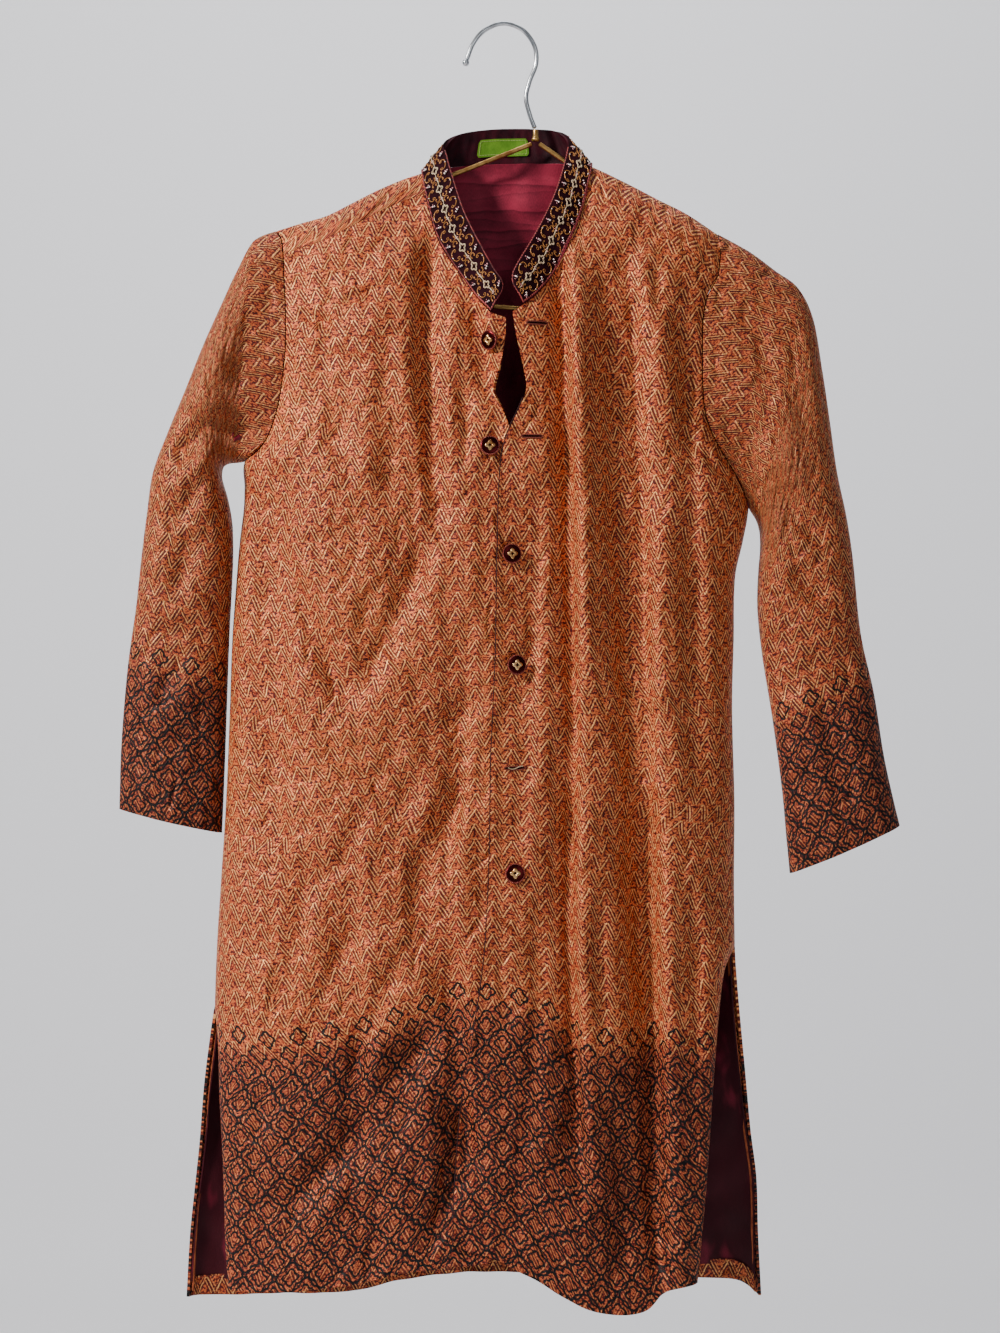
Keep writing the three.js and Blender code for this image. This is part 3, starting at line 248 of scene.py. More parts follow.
backSweeps = np.array([
    [-60, -66, -72, 220, 460, 800, 20, 8, 7], [30, 26, 30, 240, 480, 790, 18, 7, 6],
    [98, 104, 110, 260, 520, 800, 18, 7, 6], [-116, -122, -126, 420, 560, 760, 14, 6, 4],
])
backFolds = np.array([
    [-70, -78, -90, 230, 480, 800, 14, 4], [12, 8, 14, 210, 450, 760, 12, 3.5],
    [76, 84, 92, 260, 520, 810, 15, 4.5], [-120, -128, -132, 300, 420, 540, 9, 2],
    [-30, -40, -36, 420, 560, 700, 8, 1.8], [44, 50, 46, 180, 250, 330, 7, 1.6],
    [118, 122, 128, 340, 450, 600, 9, 2.2], [-90, -60, -30, 170, 182, 186, 6, 1.2],
])

# sleeves: outer and inner edge (x, drop), depth in front and behind, from cap to cuff
sleeveRows = {
    "right": np.array([
        [-147, 133.5, -168, 284, 20, 12], [-161.5, 139.5, -172, 284.3, 21, 12],
        [-173.5, 161, -176, 284.6, 23, 13], [-184, 184, -179.5, 285.5, 25, 13],
        [-195, 209, -182, 288, 27, 13], [-205, 234, -182.5, 295, 27, 13],
        [-218.5, 266.5, -179, 307, 25, 13], [-227.5, 291, -176, 323, 24, 13],
        [-231.5, 318, -175.3, 343, 23, 12], [-235, 346, -176.2, 367, 22, 12],
        [-238.5, 378, -177.8, 397, 20, 11], [-244, 418, -179.2, 436, 19, 11],
        [-248, 466, -180.8, 482, 17, 11], [-249.4, 509, -182.6, 524.6, 16, 11],
    ]),
    "left": np.array([
        [139.1, 135.7, 159.5, 314, 20, 12], [159.3, 146.5, 161, 316, 22, 12],
        [177, 159.5, 162.6, 318.5, 24, 13], [191.5, 170.5, 164.4, 321.5, 26, 13],
        [201.3, 190, 166, 326, 27, 13], [207.1, 222.3, 167, 332, 27, 13],
        [212.2, 256.1, 167, 342, 26, 13], [217.1, 290.4, 166, 354, 25, 13],
        [223.2, 319.2, 165.3, 368, 24, 12], [227.5, 347.8, 165.6, 384, 23, 12],
        [232.5, 395, 168.8, 412, 21, 11], [241.1, 434, 175, 450, 20, 11],
        [247.5, 474, 181, 494, 18, 11], [253.5, 501.8, 184.2, 528, 17, 11],
        [257.9, 519.9, 186.4, 550.9, 16, 11],
    ]),
}
sleeveFolds = {
    "right": np.array([
        [-160, -190, -214, 262, 263, 288, 8, 7.4], [-196, -204, -212, 330, 350, 372, 7, 5.7],
        [-168, -186, -206, 278, 280, 300, 5, -3.4], [-158, -164, -176, 190, 214, 236, 8, 4.5],
        [-186, -200, -226, 402, 392, 398, 6, 3.4], [-190, -204, -222, 472, 462, 470, 6, 2.9],
        [-196, -206, -216, 300, 316, 326, 6, 4.5], [-222, -212, -206, 440, 424, 404, 6, 2.9],
    ]),
    "left": np.array([
        [150, 166, 178, 262, 292, 318, 8, 7.4], [186, 196, 208, 352, 366, 374, 8, 6.2],
        [146, 160, 182, 232, 260, 276, 6, 5.7], [176, 188, 204, 300, 322, 334, 7, 5.7],
        [190, 202, 224, 418, 410, 420, 6, 3.6], [160, 166, 172, 186, 210, 240, 8, 4.5],
        [186, 190, 194, 200, 240, 290, 9, 4.5], [204, 214, 222, 440, 470, 500, 7, 3.9],
    ]),
}

# where the lattice border starts, as x and drop
borderLine = np.array([
    [-200, 655], [-168, 652], [-147, 653.6], [-127, 650.4], [-106, 647], [-88, 644], [-69, 638],
    [-51, 631], [-34, 623], [-18, 622], [-4, 622], [16, 627], [29, 634], [50, 649], [70, 652],
    [86, 653.5], [101, 649.5], [120, 655.5], [170, 656],
])
borderLevel = 650.0
# the lap of the fronts: how far the under one steps back, over which width and drop, and how far
# the over one's edge stands out; then how wide the cloth rounds off at its sides
lapping = settings(step=2.6, reach=18, full=5, start=222, end=256, proud=1.3, edge=4.5)
roll = settings(front=100, back=30, shoulder=18)


# the body's skin

def swell(distance, width):
    # quarter ellipse from 0 at an edge to 1 one width further in
    rest = 1 - np.clip((distance - 0.04) / width, 0, 1)
    return np.sqrt(np.maximum(1 - rest * rest, 0))


def foldDepth(folds, x, drop):
    # each fold is a soft trough across its three-point line, fading at both ends
    total = np.zeros(np.shape(x))
    for fold in folds:
        nearest = np.full(np.shape(x), 1e9)
        along = np.zeros(np.shape(x))
        for i in (0, 1):
            runX, runDrop = fold[i + 1] - fold[i], fold[i + 4] - fold[i + 3]
            share = ((x - fold[i]) * runX + (drop - fold[i + 3]) * runDrop) / (runX**2 + runDrop**2)
            t = np.clip(share, 0, 1)
            away = np.hypot(x - fold[i] - t * runX, drop - fold[i + 3] - t * runDrop)
            closer = away < nearest
            nearest = np.where(closer, away, nearest)
            along = np.where(closer, (i + t) / 2, along)
        ends = ease(along, -0.1, 0.25) * (1 - ease(along, 0.75, 1.1))
        total += fold[7] * ends * np.exp(-((nearest / fold[6]) ** 2))
    return total


def sweepDepth(folds, x, drop):
    # as foldDepth, with its own width on each side of the line, so that the fold leans
    total = np.zeros(np.shape(x))
    for fold in folds:
        line = smoothAt(np.column_stack([fold[3:6], fold[0:3]]), drop, 1)
        away = x - line
        width = np.where(away < 0, fold[6], fold[7])
        ends = ease(drop, fold[3] - 20, fold[3] + 60) * (1 - ease(drop, fold[5] - 60, fold[5] + 20))
        total += fold[8] * ends * np.exp(-((away / width) ** 2))
    return total


def ripple(x, drop, turn=0.0):
    # small unevenness: slow sines crossed at several angles
    a = np.sin(0.11 * x + 0.031 * drop + 1.3 * np.sin(0.043 * drop + turn) + turn)
    b = np.sin(0.083 * drop - 0.052 * x + 1.1 * np.sin(0.067 * x) + 2 * turn)
    c = np.sin(0.19 * x + 0.16 * drop + 2.2 * np.sin(0.05 * x - 0.03 * drop) + 3 * turn)
    d = np.sin(0.27 * x - 0.12 * drop + 1.7 * np.sin(0.06 * drop + 0.03 * x) + 4 * turn)
    return cloth["ripple"] * (a + b + 0.55 * c + 0.45 * d)


def sideLine(drop, side, face):
    # x of a side seam, and of the slit's free edge below it
    above = smoothAt(bodyRows, drop, 1 if side == "left" else 2)
    below = smoothAt(slitRows[side], drop, 1 if face == "front" else 3)
    return np.where(drop > slitRows[side][0, 0], below, above)


def ridgeAt(x):
    # drop of the shoulder's ridge
    return smoothAt(shoulderRows, x, 1)


def bodyDepth(face, x, drop):
    # both sides and the shoulder swell out to the middle depth, less the folds
    front = face == "front"
    left, right = sideLine(drop, "left", face), sideLine(drop, "right", face)
    across = np.clip((x - left) / (right - left), 0, 1)
    column = 2 if front else 4
    edge = mix(*(smoothAt(slitRows[side], drop, column) for side in ("left", "right")), across)
    middle = smoothAt(bodyRows, drop, 3 if front else 4)
    width = roll[face]
    sides = swell(x - left, width) * swell(right - x, width)
    top = swell(drop - ridgeAt(x), roll["shoulder"])
    folds = foldDepth(frontFolds if front else backFolds, x, drop)
    folds = folds + ripple(x, drop, 0.0 if front else 2.1)
    folds = folds + sweepDepth(frontSweeps if front else backSweeps, x, drop)
    return ((edge + (middle - edge) * sides) - folds * sides) * top


def bodySkin(face, x, drop):
    # points of a face with the direction into the cloth, from the depth's slopes
    sign = -1 if face == "front" else 1
    step, margin = 0.02, 0.07

    def depth(px, pd):
        return sign * (cloth["seam"] / 2 + bodyDepth(face, px, pd))

    nearX = np.clip(x, sideLine(drop, "left", face) + margin, sideLine(drop, "right", face) - margin)
    nearDrop = np.maximum(drop, ridgeAt(nearX) + margin)
    slopeX = (depth(nearX + step, nearDrop) - depth(nearX - step, nearDrop)) / (2 * step)
    slopeDrop = (depth(nearX, nearDrop + step) - depth(nearX, nearDrop - step)) / (2 * step)
    inward = unit(-sign * np.stack([-slopeX, np.ones(np.shape(x)), slopeDrop], axis=-1))
    return np.stack([x, depth(x, drop), -drop], axis=-1), inward


def wrapSkin(x, height):
    # the back reaches over the ridge: heights above it lie on the front side
    ridge = ridgeAt(x)
    frontPoint, frontIn = bodySkin("front", x, 2 * ridge - height)
    backPoint, backIn = bodySkin("back", x, height)
    over = (height < ridge)[..., None]
    return np.where(over, frontPoint, backPoint), np.where(over, frontIn, backIn)


def underStep(x, drop):
    # how far the under front lies behind the over front
    line = smoothAt(np.array(overEdge)[:, ::-1], drop, 1)
    below = ease(drop, lapping["start"], lapping["end"])
    return lapping["step"] * below * ease(x, line - lapping["reach"], line - lapping["full"])


# mesh making

def strip(first, second):
    # quads between vertex numbers that run side by side
    return np.stack([first[:-1], first[1:], second[1:], second[:-1]], axis=-1).reshape(-1, 4)


def volumeBelow(points, faces):
    # six times the signed volume between faces and origin, each face a fan of triangles
    a, b, c, d = (points[faces[:, k]] for k in (0, 1, 2, -1))
    return np.sum(a * (np.cross(b, c) + np.cross(c, d)))


def newPiece(name, points, faces, slots, materials, sharp, cornerUv=None):
    # one smooth object from points in millimetres and arrays of quads or triangles;
    # turned the right way out by its signed volume
    if sum(volumeBelow(points, part) for part in faces) < 0:
        faces = [part[:, ::-1] for part in faces]
        cornerUv = None if cornerUv is None else cornerUv[:, ::-1]
    corners = [face for part in faces for face in part.tolist()]
    mesh = bpy.data.meshes.new(name)
    mesh.from_pydata((points * metre).tolist(), [], corners)
    if cornerUv is not None:
        mesh.uv_layers.new(name="cloth").data.foreach_set("uv", (cornerUv * metre).ravel())
    mesh.polygons.foreach_set("material_index", np.ascontiguousarray(slots, np.int32))
    mesh.polygons.foreach_set("use_smooth", np.ones(len(corners), bool))
    for material in materials:
        mesh.materials.append(material)
    mesh.update()
    mesh.set_sharp_from_angle(angle=math.radians(sharp))
    piece = bpy.data.objects.new(name, mesh)
    bpy.context.scene.collection.objects.link(piece)
    return piece


def wall(name, skin, start, end, uv, materials, loops=False):
    # closed cloth from a grid of points and inward directions: outer skin at the start depth,
    # inner skin at the end depth, and rims; a second material goes on the inner skin
    points, inward = skin
    rows, columns = points.shape[:2]
    index = np.arange(rows * columns).reshape(rows, columns)
    if loops:
        index = np.column_stack([index, index[:, :1]])
    corner = np.arange(index.size).reshape(index.shape)

    def parts(out, ins):
        made = [
            strip(out[:, :-1], out[:, 1:]), strip(ins[:, :-1], ins[:, 1:])[:, ::-1],
            strip(ins[0], out[0])[:, ::-1], strip(out[-1], ins[-1])[:, ::-1],
        ]
        if not loops:
            made += [strip(out[:, 0], ins[:, 0])[:, ::-1], strip(ins[:, -1], out[:, -1])[:, ::-1]]
        return made

    faces = parts(index, index + rows * columns)
    corners = np.concatenate(parts(corner, corner + corner.size))
    slots = np.repeat([0, len(materials) - 1] + [0] * (len(faces) - 2), [len(part) for part in faces])
    layers = np.concatenate([(points + inward * depth).reshape(-1, 3) for depth in (start, end)])
    flat = np.tile(uv.reshape(-1, 2), (2, 1))
    return newPiece(name, layers, faces, slots, materials, 40, flat[corners])


def tubes(name, paths, normals, radii, sides, materials, pick=None, tip=0.5, sharp=60):
    # strings along many paths at once: paths and normals (n, k, 3); radii (n, k) when round,
    # (n, k, sides) when not; tip is how far an end stands out, as a share of its radius
    along = unit(np.gradient(paths, axis=1))
    normals = unit(normals - along * np.sum(normals * along, axis=-1, keepdims=True))
    across = np.cross(along, normals)
    angle = np.arange(sides) * 2 * math.pi / sides
    ring = across[:, :, None] * np.cos(angle)[:, None] + normals[:, :, None] * np.sin(angle)[:, None]
    count, steps = paths.shape[:2]
    radii = radii.reshape(count, steps, -1)
    points = paths[:, :, None] + ring * radii[..., None]
    index = np.arange(count * steps * sides).reshape(count, steps, sides)
    nextOne = np.roll(index, -1, axis=2)
    body = np.stack([index[:, :-1], index[:, 1:], nextOne[:, 1:], nextOne[:, :-1]], axis=-1)
    tips = index.size + np.arange(2 * count).reshape(count, 2)
    first, last = np.repeat(tips[:, :1], sides, 1), np.repeat(tips[:, 1:], sides, 1)
    caps = np.stack([
        np.stack([first, index[:, 0], nextOne[:, 0]], axis=-1),
        np.stack([last, nextOne[:, -1], index[:, -1]], axis=-1),
    ])
    reach = along * radii[..., :1] * tip
    ends = np.stack([paths[:, 0] - reach[:, 0], paths[:, -1] + reach[:, -1]], axis=1)
    allPoints = np.concatenate([points.reshape(-1, 3), ends.reshape(-1, 3)])
    slot = np.zeros(count, int) if pick is None else np.asarray(pick)
    slots = np.concatenate([np.repeat(slot, (steps - 1) * sides), np.tile(np.repeat(slot, sides), 2)])
    faces = [body.reshape(-1, 4), caps.reshape(-1, 3)]
    return newPiece(name, allPoints, faces, slots, materials, sharp)


def turned(name, profiles, centres, axes, sides, materials, pick, lobes=(0, 0.0)):
    # turned forms: profiles (radius, height) carried round an axis at each centre;
    # lobes (count, depth) pull the radius in and out around the turn
    points, quads, caps, quadSlots, capSlots, offset = [], [], [], [], [], 0
    angle = np.arange(sides) * 2 * math.pi / sides
    wave = 1 + lobes[1] * np.cos(lobes[0] * angle)
    for profile, centre, axis, slot in zip(profiles, centres, axes, pick):
        profile = np.asarray(profile, float)
        axis = unit(np.asarray(axis, float))
        helper = [0, 0, 1.0] if abs(axis[2]) < 0.9 else [1.0, 0, 0]
        sideways = unit(np.cross(helper, axis))
        ring = np.cos(angle)[:, None] * sideways + np.sin(angle)[:, None] * np.cross(axis, sideways)
        radius = profile[1:-1, :1] * wave
        body = centre + radius[..., None] * ring + profile[1:-1, 1][:, None, None] * axis
        poles = centre + profile[[0, -1], 1][:, None] * axis
        rows = len(profile) - 2
        index = offset + np.arange(rows * sides).reshape(rows, sides)
        nextOne = np.roll(index, -1, axis=1)
        low = np.full(sides, offset + rows * sides)
        quads.append(strip(index, nextOne))
        caps.append(np.stack([low, index[0], nextOne[0]], axis=-1))
        caps.append(np.stack([low + 1, nextOne[-1], index[-1]], axis=-1))
        quadSlots.append(np.full((rows - 1) * sides, slot))
        capSlots.append(np.full(2 * sides, slot))
        points += [body.reshape(-1, 3), poles]
        offset += rows * sides + 2
    faces = [np.concatenate(quads), np.concatenate(caps)]
    slots = np.concatenate(quadSlots + capSlots)
    return newPiece(name, np.concatenate(points), faces, slots, materials, 60)


def place(piece, node):
    # joins the one body and stands for its CAD node, if it has one
    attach(piece, "root")
    if node:
        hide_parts(node)
    return piece


# shader fields: a socket with arithmetic, so that a pattern reads as a formula

class Field:
    def __init__(self, tree, socket):
        self.tree, self.socket = tree, socket

    def op(self, kind, *others):
        node = self.tree.nodes.new("ShaderNodeMath")
        node.operation = kind
        for slot, value in zip(node.inputs, (self, *others)):
            if isinstance(value, Field):
                self.tree.links.new(value.socket, slot)
            else:
                slot.default_value = value
        return Field(self.tree, node.outputs[0])

    def __add__(self, other):
        return self.op("ADD", other)

    def __sub__(self, other):
        return self.op("SUBTRACT", other)

    def __mul__(self, other):
        return self.op("MULTIPLY", other)

    def __truediv__(self, other):
        return self.op("DIVIDE", other)

    def fract(self):
        return self.op("FRACT")

    def size(self):
        return self.op("ABSOLUTE")

    def least(self, other):
        return self.op("MINIMUM", other)

    def most(self, other):
        return self.op("MAXIMUM", other)

    def over(self, other):
        return self.op("GREATER_THAN", other)

    def between(self, low, high, start=0.0, end=1.0):
        # soft step from start below low to end above high
        node = self.tree.nodes.new("ShaderNodeMapRange")
        node.interpolation_type = "SMOOTHSTEP"
        self.tree.links.new(self.socket, node.inputs["Value"])
        for key, value in (("From Min", low), ("From Max", high), ("To Min", start), ("To Max", end)):
            node.inputs[key].default_value = value
        return Field(self.tree, node.outputs["Result"])


def paint(red, green, blue):
    # screen colour 0-255 to the shader's linear colour
    c = np.array([red, green, blue]) / 255
    linear = np.where(c <= 0.04045, c / 12.92, ((c + 0.055) / 1.055) ** 2.4)
    return (*linear.tolist(), 1.0)


def newMaterial(name, **sockets):
    # a material with its shader's plain values set
    material = bpy.data.materials.new(name)
    material.use_nodes = True
    shader = material.node_tree.nodes["Principled BSDF"]
    for key, value in sockets.items():
        shader.inputs[key.replace("_", " ")].default_value = value
    return material, material.node_tree, shader


def clothPlace(tree):
    # u and v of the cloth in millimetres, from its own map
    node = tree.nodes.new("ShaderNodeUVMap")
    node.uv_map = "cloth"
    split = tree.nodes.new("ShaderNodeSeparateXYZ")
    tree.links.new(node.outputs[0], split.inputs[0])
    return Field(tree, split.outputs[0]) * 1000, Field(tree, split.outputs[1]) * 1000


def objectPlace(tree):
    # x, y and z of the object in millimetres
    node = tree.nodes.new("ShaderNodeTexCoord")
    split = tree.nodes.new("ShaderNodeSeparateXYZ")
    tree.links.new(node.outputs["Object"], split.inputs[0])
    return [Field(tree, split.outputs[k]) * 1000 for k in range(3)]


def speckle(tree, u, v, width, height, detail=2.0, rough=0.55, w=0.0):
    # noise whose blotches are width by height millimetres
    node = tree.nodes.new("ShaderNodeTexNoise")
    node.noise_dimensions = "3D"
    join = tree.nodes.new("ShaderNodeCombineXYZ")
    tree.links.new((u / width).socket, join.inputs[0])
    tree.links.new((v / height).socket, join.inputs[1])
    join.inputs[2].default_value = w
    tree.links.new(join.outputs[0], node.inputs["Vector"])
    node.inputs["Scale"].default_value = 1.0
    node.inputs["Detail"].default_value = detail
    node.inputs["Roughness"].default_value = rough
    return Field(tree, node.outputs[0])


def colourMix(tree, factor, first, second):
    # first colour at factor 0, second at factor 1
    node = tree.nodes.new("ShaderNodeMix")
    node.data_type = "RGBA"
    tree.links.new(factor.socket, node.inputs[0])
    for slot, value in ((node.inputs[6], first), (node.inputs[7], second)):
        if isinstance(value, tuple):
            slot.default_value = value
        else:
            tree.links.new(value, slot)
    return node.outputs[2]


def bump(tree, shader, height, distance):
    # relief of a height field in millimetres
    node = tree.nodes.new("ShaderNodeBump")
    node.inputs["Distance"].default_value = distance * metre
    node.inputs["Strength"].default_value = 1.0
    tree.links.new(height.socket, node.inputs["Height"])
    tree.links.new(node.outputs[0], shader.inputs["Normal"])


brocade = settings(
    zigWide=11.8, zigHigh=10.9,              # one repeat of the zigzag
    strokeScale=10.4,                        # one zigzag repeat in units of a stroke's place and width
    latticeWide=20.9, latticeHigh=21.5,      # one repeat of the border lattice
    # each ring of the lattice: depth of its lobes, radius, half its width, and its first row
    rings=((0.85, 4.35, 0.5, 0.3), (1.45, 7.75, 0.48, 1.2)),
    dark=paint(62, 8, 10), ground=paint(136, 37, 27), gold=paint(230, 120, 64),
    bright=paint(252, 184, 114), black=paint(6, 2, 4),
    borderGround=paint(130, 40, 29), borderGold=paint(220, 116, 70),
    crumple=2.6, pucker=0.6,                 # relief of the larger and of the smaller creases
)


def zigzag(u, v):
    # rows of slanted strokes, one leaning right then three leaning left, each row one repeat
    # high; gives the strokes and the dark gaps beside them
    fall = (v / brocade["zigHigh"]).fract()
    across = u / brocade["zigWide"]
    wide = brocade["strokeScale"]
    up = ((across + fall * 0.5).fract() - 0.5) * wide
    down = ((across - fall * 0.5 + 0.06).fract() - 0.5) * wide

    def line(distance, offset, half, strength):
        return (distance - offset).size().between(half * 0.6, half * 1.45, strength, 0.0)

    strokes = line(up, 0, 0.46, 1.0)
    for offset, half, strength in ((1.0, 0.4, 0.95), (-1.0, 0.38, 0.85), (2.9, 0.3, 0.5)):
        strokes = strokes.most(line(down, offset, half, strength))
    strokes = strokes.most(line(up, -1.8, 0.28, 0.4))
    gaps = line(up, 0, 1.2, 0.9).most(line(down, 0, 2.0, 0.9))
    ends = fall.between(-0.02, 0.04) * fall.between(0.96, 1.02, 1.0, 0.0)
    return strokes * ends, gaps * ends


def lattice(u, v, level):
    # four-lobed rings in a staggered grid, each with an outer ring once past the first row
    wide, high = brocade["latticeWide"], brocade["latticeHigh"]
    total = None
    for shift in (0.0, 0.5):
        column = (u / wide + shift + 0.5).fract() - 0.5
        rowPlace = (v - level) / high + shift
        row = rowPlace.fract() - 0.5
        centre = rowPlace - row
        du, dv = column * wide, row * high
        reach = (du * du + dv * dv).op("SQRT").most(0.001)
        c = du / reach
        c2 = c * c
        four = c2 * c2 * 8.0 - c2 * 8.0 + 1.0
        for lobe, radius, half, first in brocade["rings"]:
            ring = (reach - four * lobe - radius).size().between(half, half + 0.52, 1.0, 0.0)
            ring = ring * centre.over(first)
            total = total.most(ring) if total else ring
    return total


def brocadeMaterial(name, level, shadow=0.0):
    # rust ground with gold zigzag strokes, the gold thread part metal; below the level a
    # black lattice on copper; shadow is painted shade that deepens the whole cloth
    material, tree, shader = newMaterial(name, Roughness=0.6, Specular_IOR_Level=0.25)
    u, v = clothPlace(tree)
    wander = speckle(tree, u, v, 9, 9, 2.0)
    jitter = speckle(tree, u, v, 1.5, 1.5, 2.0, w=3.0)
    strokes, gaps = zigzag(u + (wander - 0.5) * 1.0 + (jitter - 0.5) * 0.6, v + (wander - 0.5) * 0.9)
    grain = speckle(tree, u, v, 1.75, 1.55, 2.0, 0.6, w=7.0)
    broad = speckle(tree, u, v, 6.0, 5.0, 2.0, w=21.0)
    thread = speckle(tree, u, v, 0.55, 2.2, 1.0, w=11.0)
    patch = speckle(tree, u, v, 60, 90, 2.0, w=15.0)
    broken = strokes * grain.between(0.3, 0.44, 0.55, 1.0)
    below = v.between(level + 2, level + 16)
    lobes = lattice(u + (jitter - 0.5) * 1.7, v + (wander - 0.5) * 2.0 + (jitter - 0.5) * 1.7, level)
    vein = (speckle(tree, u, v, 3.2, 3.2, 1.0, w=31.0) - 0.5).size().between(0.012, 0.035, 0.5, 0.0)
    black = lobes.most(vein * below).least(1.0)
    tone = (broad - 0.5) * 0.4 + (patch - 0.5) * 0.6
    specks = grain.between(0.475, 0.54, 0.0, 0.8) * (gaps * -0.8 + 1.0)
    lit = (specks + broken * 0.95 + tone).most(0.0).least(1.0)
    # the weave's own darks, plus painted shade from the shadow argument
    low = grain.between(0.4, 0.49, 1.0, 0.0).most(gaps * 0.75) * (broken * -0.95 + 1.0) + shadow
    upper = colourMix(tree, lit, brocade["ground"], brocade["gold"])
    lower = colourMix(tree, lit * 0.8, brocade["borderGround"], brocade["borderGold"])
    both = colourMix(tree, below * 0.8, upper, lower)
    glints = broken * grain.between(0.4, 0.55) * (below * -0.7 + 1.0)
    both = colourMix(tree, glints, both, brocade["bright"])
    both = colourMix(tree, low.least(1.0), both, brocade["dark"])
    finished = colourMix(tree, black, both, brocade["black"])
    tree.links.new(finished, shader.inputs["Base Color"])
    tree.links.new((lit * -0.18 + 0.66).socket, shader.inputs["Roughness"])
    tree.links.new((lit * (black * -1.0 + 1.0) * 0.32).socket, shader.inputs["Metallic"])
    crumple = (speckle(tree, u, v, 34, 42, 2.0, w=41.0) - 0.5).size().between(0.0, 0.1)
    pucker = (speckle(tree, u, v, 15, 11, 1.0, w=47.0) - 0.5).size().between(0.0, 0.12)
    height = broken * 0.55 + grain * 0.7 + thread * 0.25 - gaps * 0.2 - black * 0.3
    height = height + crumple * brocade["crumple"] + pucker * brocade["pucker"]
    bump(tree, shader, height, 0.5)
    return material


def satinMaterial(name, colour, deep, scale=1.0, rough=0.36, shine=0.4, creaseShading=(), dim=None):
    # smooth weave with slow changes of tone; each pressed crease gets a painted highlight above
    # its line and painted shade just below it: level, tilt, strength; dim paints shade inside
    # the garment: between which drops it turns to a deeper colour, how much, and the colour
    material, tree, shader = newMaterial(name, Roughness=rough, Specular_IOR_Level=shine)
    u, v = clothPlace(tree)
    slow = speckle(tree, u, v, 26 * scale, 40 * scale, 3.0)
    weave = speckle(tree, u, v, 0.5, 1.6, 2.0, w=5.0)
    tone = (slow * 0.8 + weave * 0.4).between(0.35, 0.85)
    wave = speckle(tree, u, v, 14, 60, 2.0, w=9.0) - 0.5
    # each crease: painted shade just below its line, painted highlight above it
    for level, tilt, strength in creaseShading:
        away = v - level - u * tilt + wave * 3.0
        past = away.between(-0.25, 0.25)
        shade = past * away.between(0.0, 2.6, strength, 0.0)
        light = away.between(-4.0, -0.3) * (past * -1.0 + 1.0) * (strength * 0.6)
        tone = tone - shade + light
    tone = colourMix(tree, tone.most(0.0).least(1.0), deep, colour)
    if dim:
        # patches of painted shade, deeper lower down inside the garment
        hidden = speckle(tree, u, v, 16, 34, 2.0, w=13.0).between(0.24, 0.42, 0.5, 1.0)
        low, high, most, colour = dim
        tone = colourMix(tree, v.between(low, high, 0.0, most) * hidden, tone, colour)
    tree.links.new(tone, shader.inputs["Base Color"])
    bump(tree, shader, weave, 0.12)
    return material


def threadMaterial(name, colour, deep, rough=0.45, metal=0.0, pitch=0.7):
    # twisted thread: slanting turns of its colour, with painted shade of the deeper colour between them
    material, tree, shader = newMaterial(name, Roughness=rough, Metallic=metal, Specular_IOR_Level=0.5)
    x, y, z = objectPlace(tree)
    turns = ((x + z * 0.6 + y * 0.4) / pitch).fract()
    tone = (turns - 0.5).size().between(0.1, 0.5)
    tree.links.new(colourMix(tree, tone, colour, deep), shader.inputs["Base Color"])
    bump(tree, shader, tone, 0.1)
    return material


def metalMaterial(name, colour, worn, rough, scratch=0.2):
    # polished wire with fine scratches and duller patches
    material, tree, shader = newMaterial(name, Metallic=1.0, Roughness=rough, Specular_IOR_Level=0.5)
    x, y, z = objectPlace(tree)
    fine = speckle(tree, x + y, z, 0.8, 6.0, 3.0)
    patch = speckle(tree, x, z, 9.0, 9.0, 2.0, w=2.0)
    tree.links.new(colourMix(tree, patch.between(0.4, 0.7), colour, worn), shader.inputs["Base Color"])
    roughness = fine * scratch + patch * 0.12 + (rough - scratch * 0.5)
    tree.links.new(roughness.socket, shader.inputs["Roughness"])
    bump(tree, shader, fine, 0.03)
    return material


def plainMaterial(name, colour, rough=0.9):
    # one matt colour
    material, _, shader = newMaterial(name, Roughness=rough, Specular_IOR_Level=0.2)
    shader.inputs["Base Color"].default_value = colour
    return material


# panels

def hemShare(top, u):
    # share of the hem under a share of the top: mostly by how far across it is
    across = (alongLine(top, u)[:, 0] - top[0, 0]) / (top[-1, 0] - top[0, 0])
    return mix(u, np.clip(across, 0, 1), 0.6)


def panelPlaces(top, hem, left, right, columns, rows):
    # blend of all four edges, as x and drop
    u, v = columns[None, :, None], rows[:, None, None]
    topPoint, hemPoint = alongLine(top, columns)[None], alongLine(hem, hemShare(top, columns))[None]
    leftPoint, rightPoint = alongLine(left, rows)[:, None], alongLine(right, rows)[:, None]
    topFlat = (1 - u) * top[0] + u * top[-1]
    hemFlat = (1 - u) * hem[0] + u * hem[-1]
    across = (1 - u) * leftPoint + u * rightPoint
    return (1 - v) * (topPoint - topFlat) + v * (hemPoint - hemFlat) + across


def sharesOf(parts, spacing, crowdStart=False, crowdEnd=False):
    # even shares of a line made of parts, with a column at each joint, closer together at
    # rounded sides
    lengths = np.array([lengthsAlong(part)[-1] for part in parts])
    total = lengths.sum()
    marks, done = [], 0.0
    for length in lengths:
        steps = max(1, int(round(length / spacing)))
        marks.append(done + np.linspace(0, length, steps + 1))
        done += length
    marks = np.unique(np.round(np.concatenate(marks), 6))
    near = cloth["crowd"]
    crowd = near * np.linspace(0, 1, 15) ** 2
    if crowdStart:
        marks = np.concatenate([crowd, marks[marks > near + 1]])
    if crowdEnd:
        marks = np.concatenate([marks[marks < total - near - 1], total - crowd[::-1]])
    return marks / total


def neckLine(first, last):
    # x and drop of the neck seam between two rows of its table
    rows = np.linspace(first, last, int(abs(last - first) * 8) + 1)
    return np.column_stack([smoothAt(neckRows, rows, 1), smoothAt(neckRows, rows, 2)])


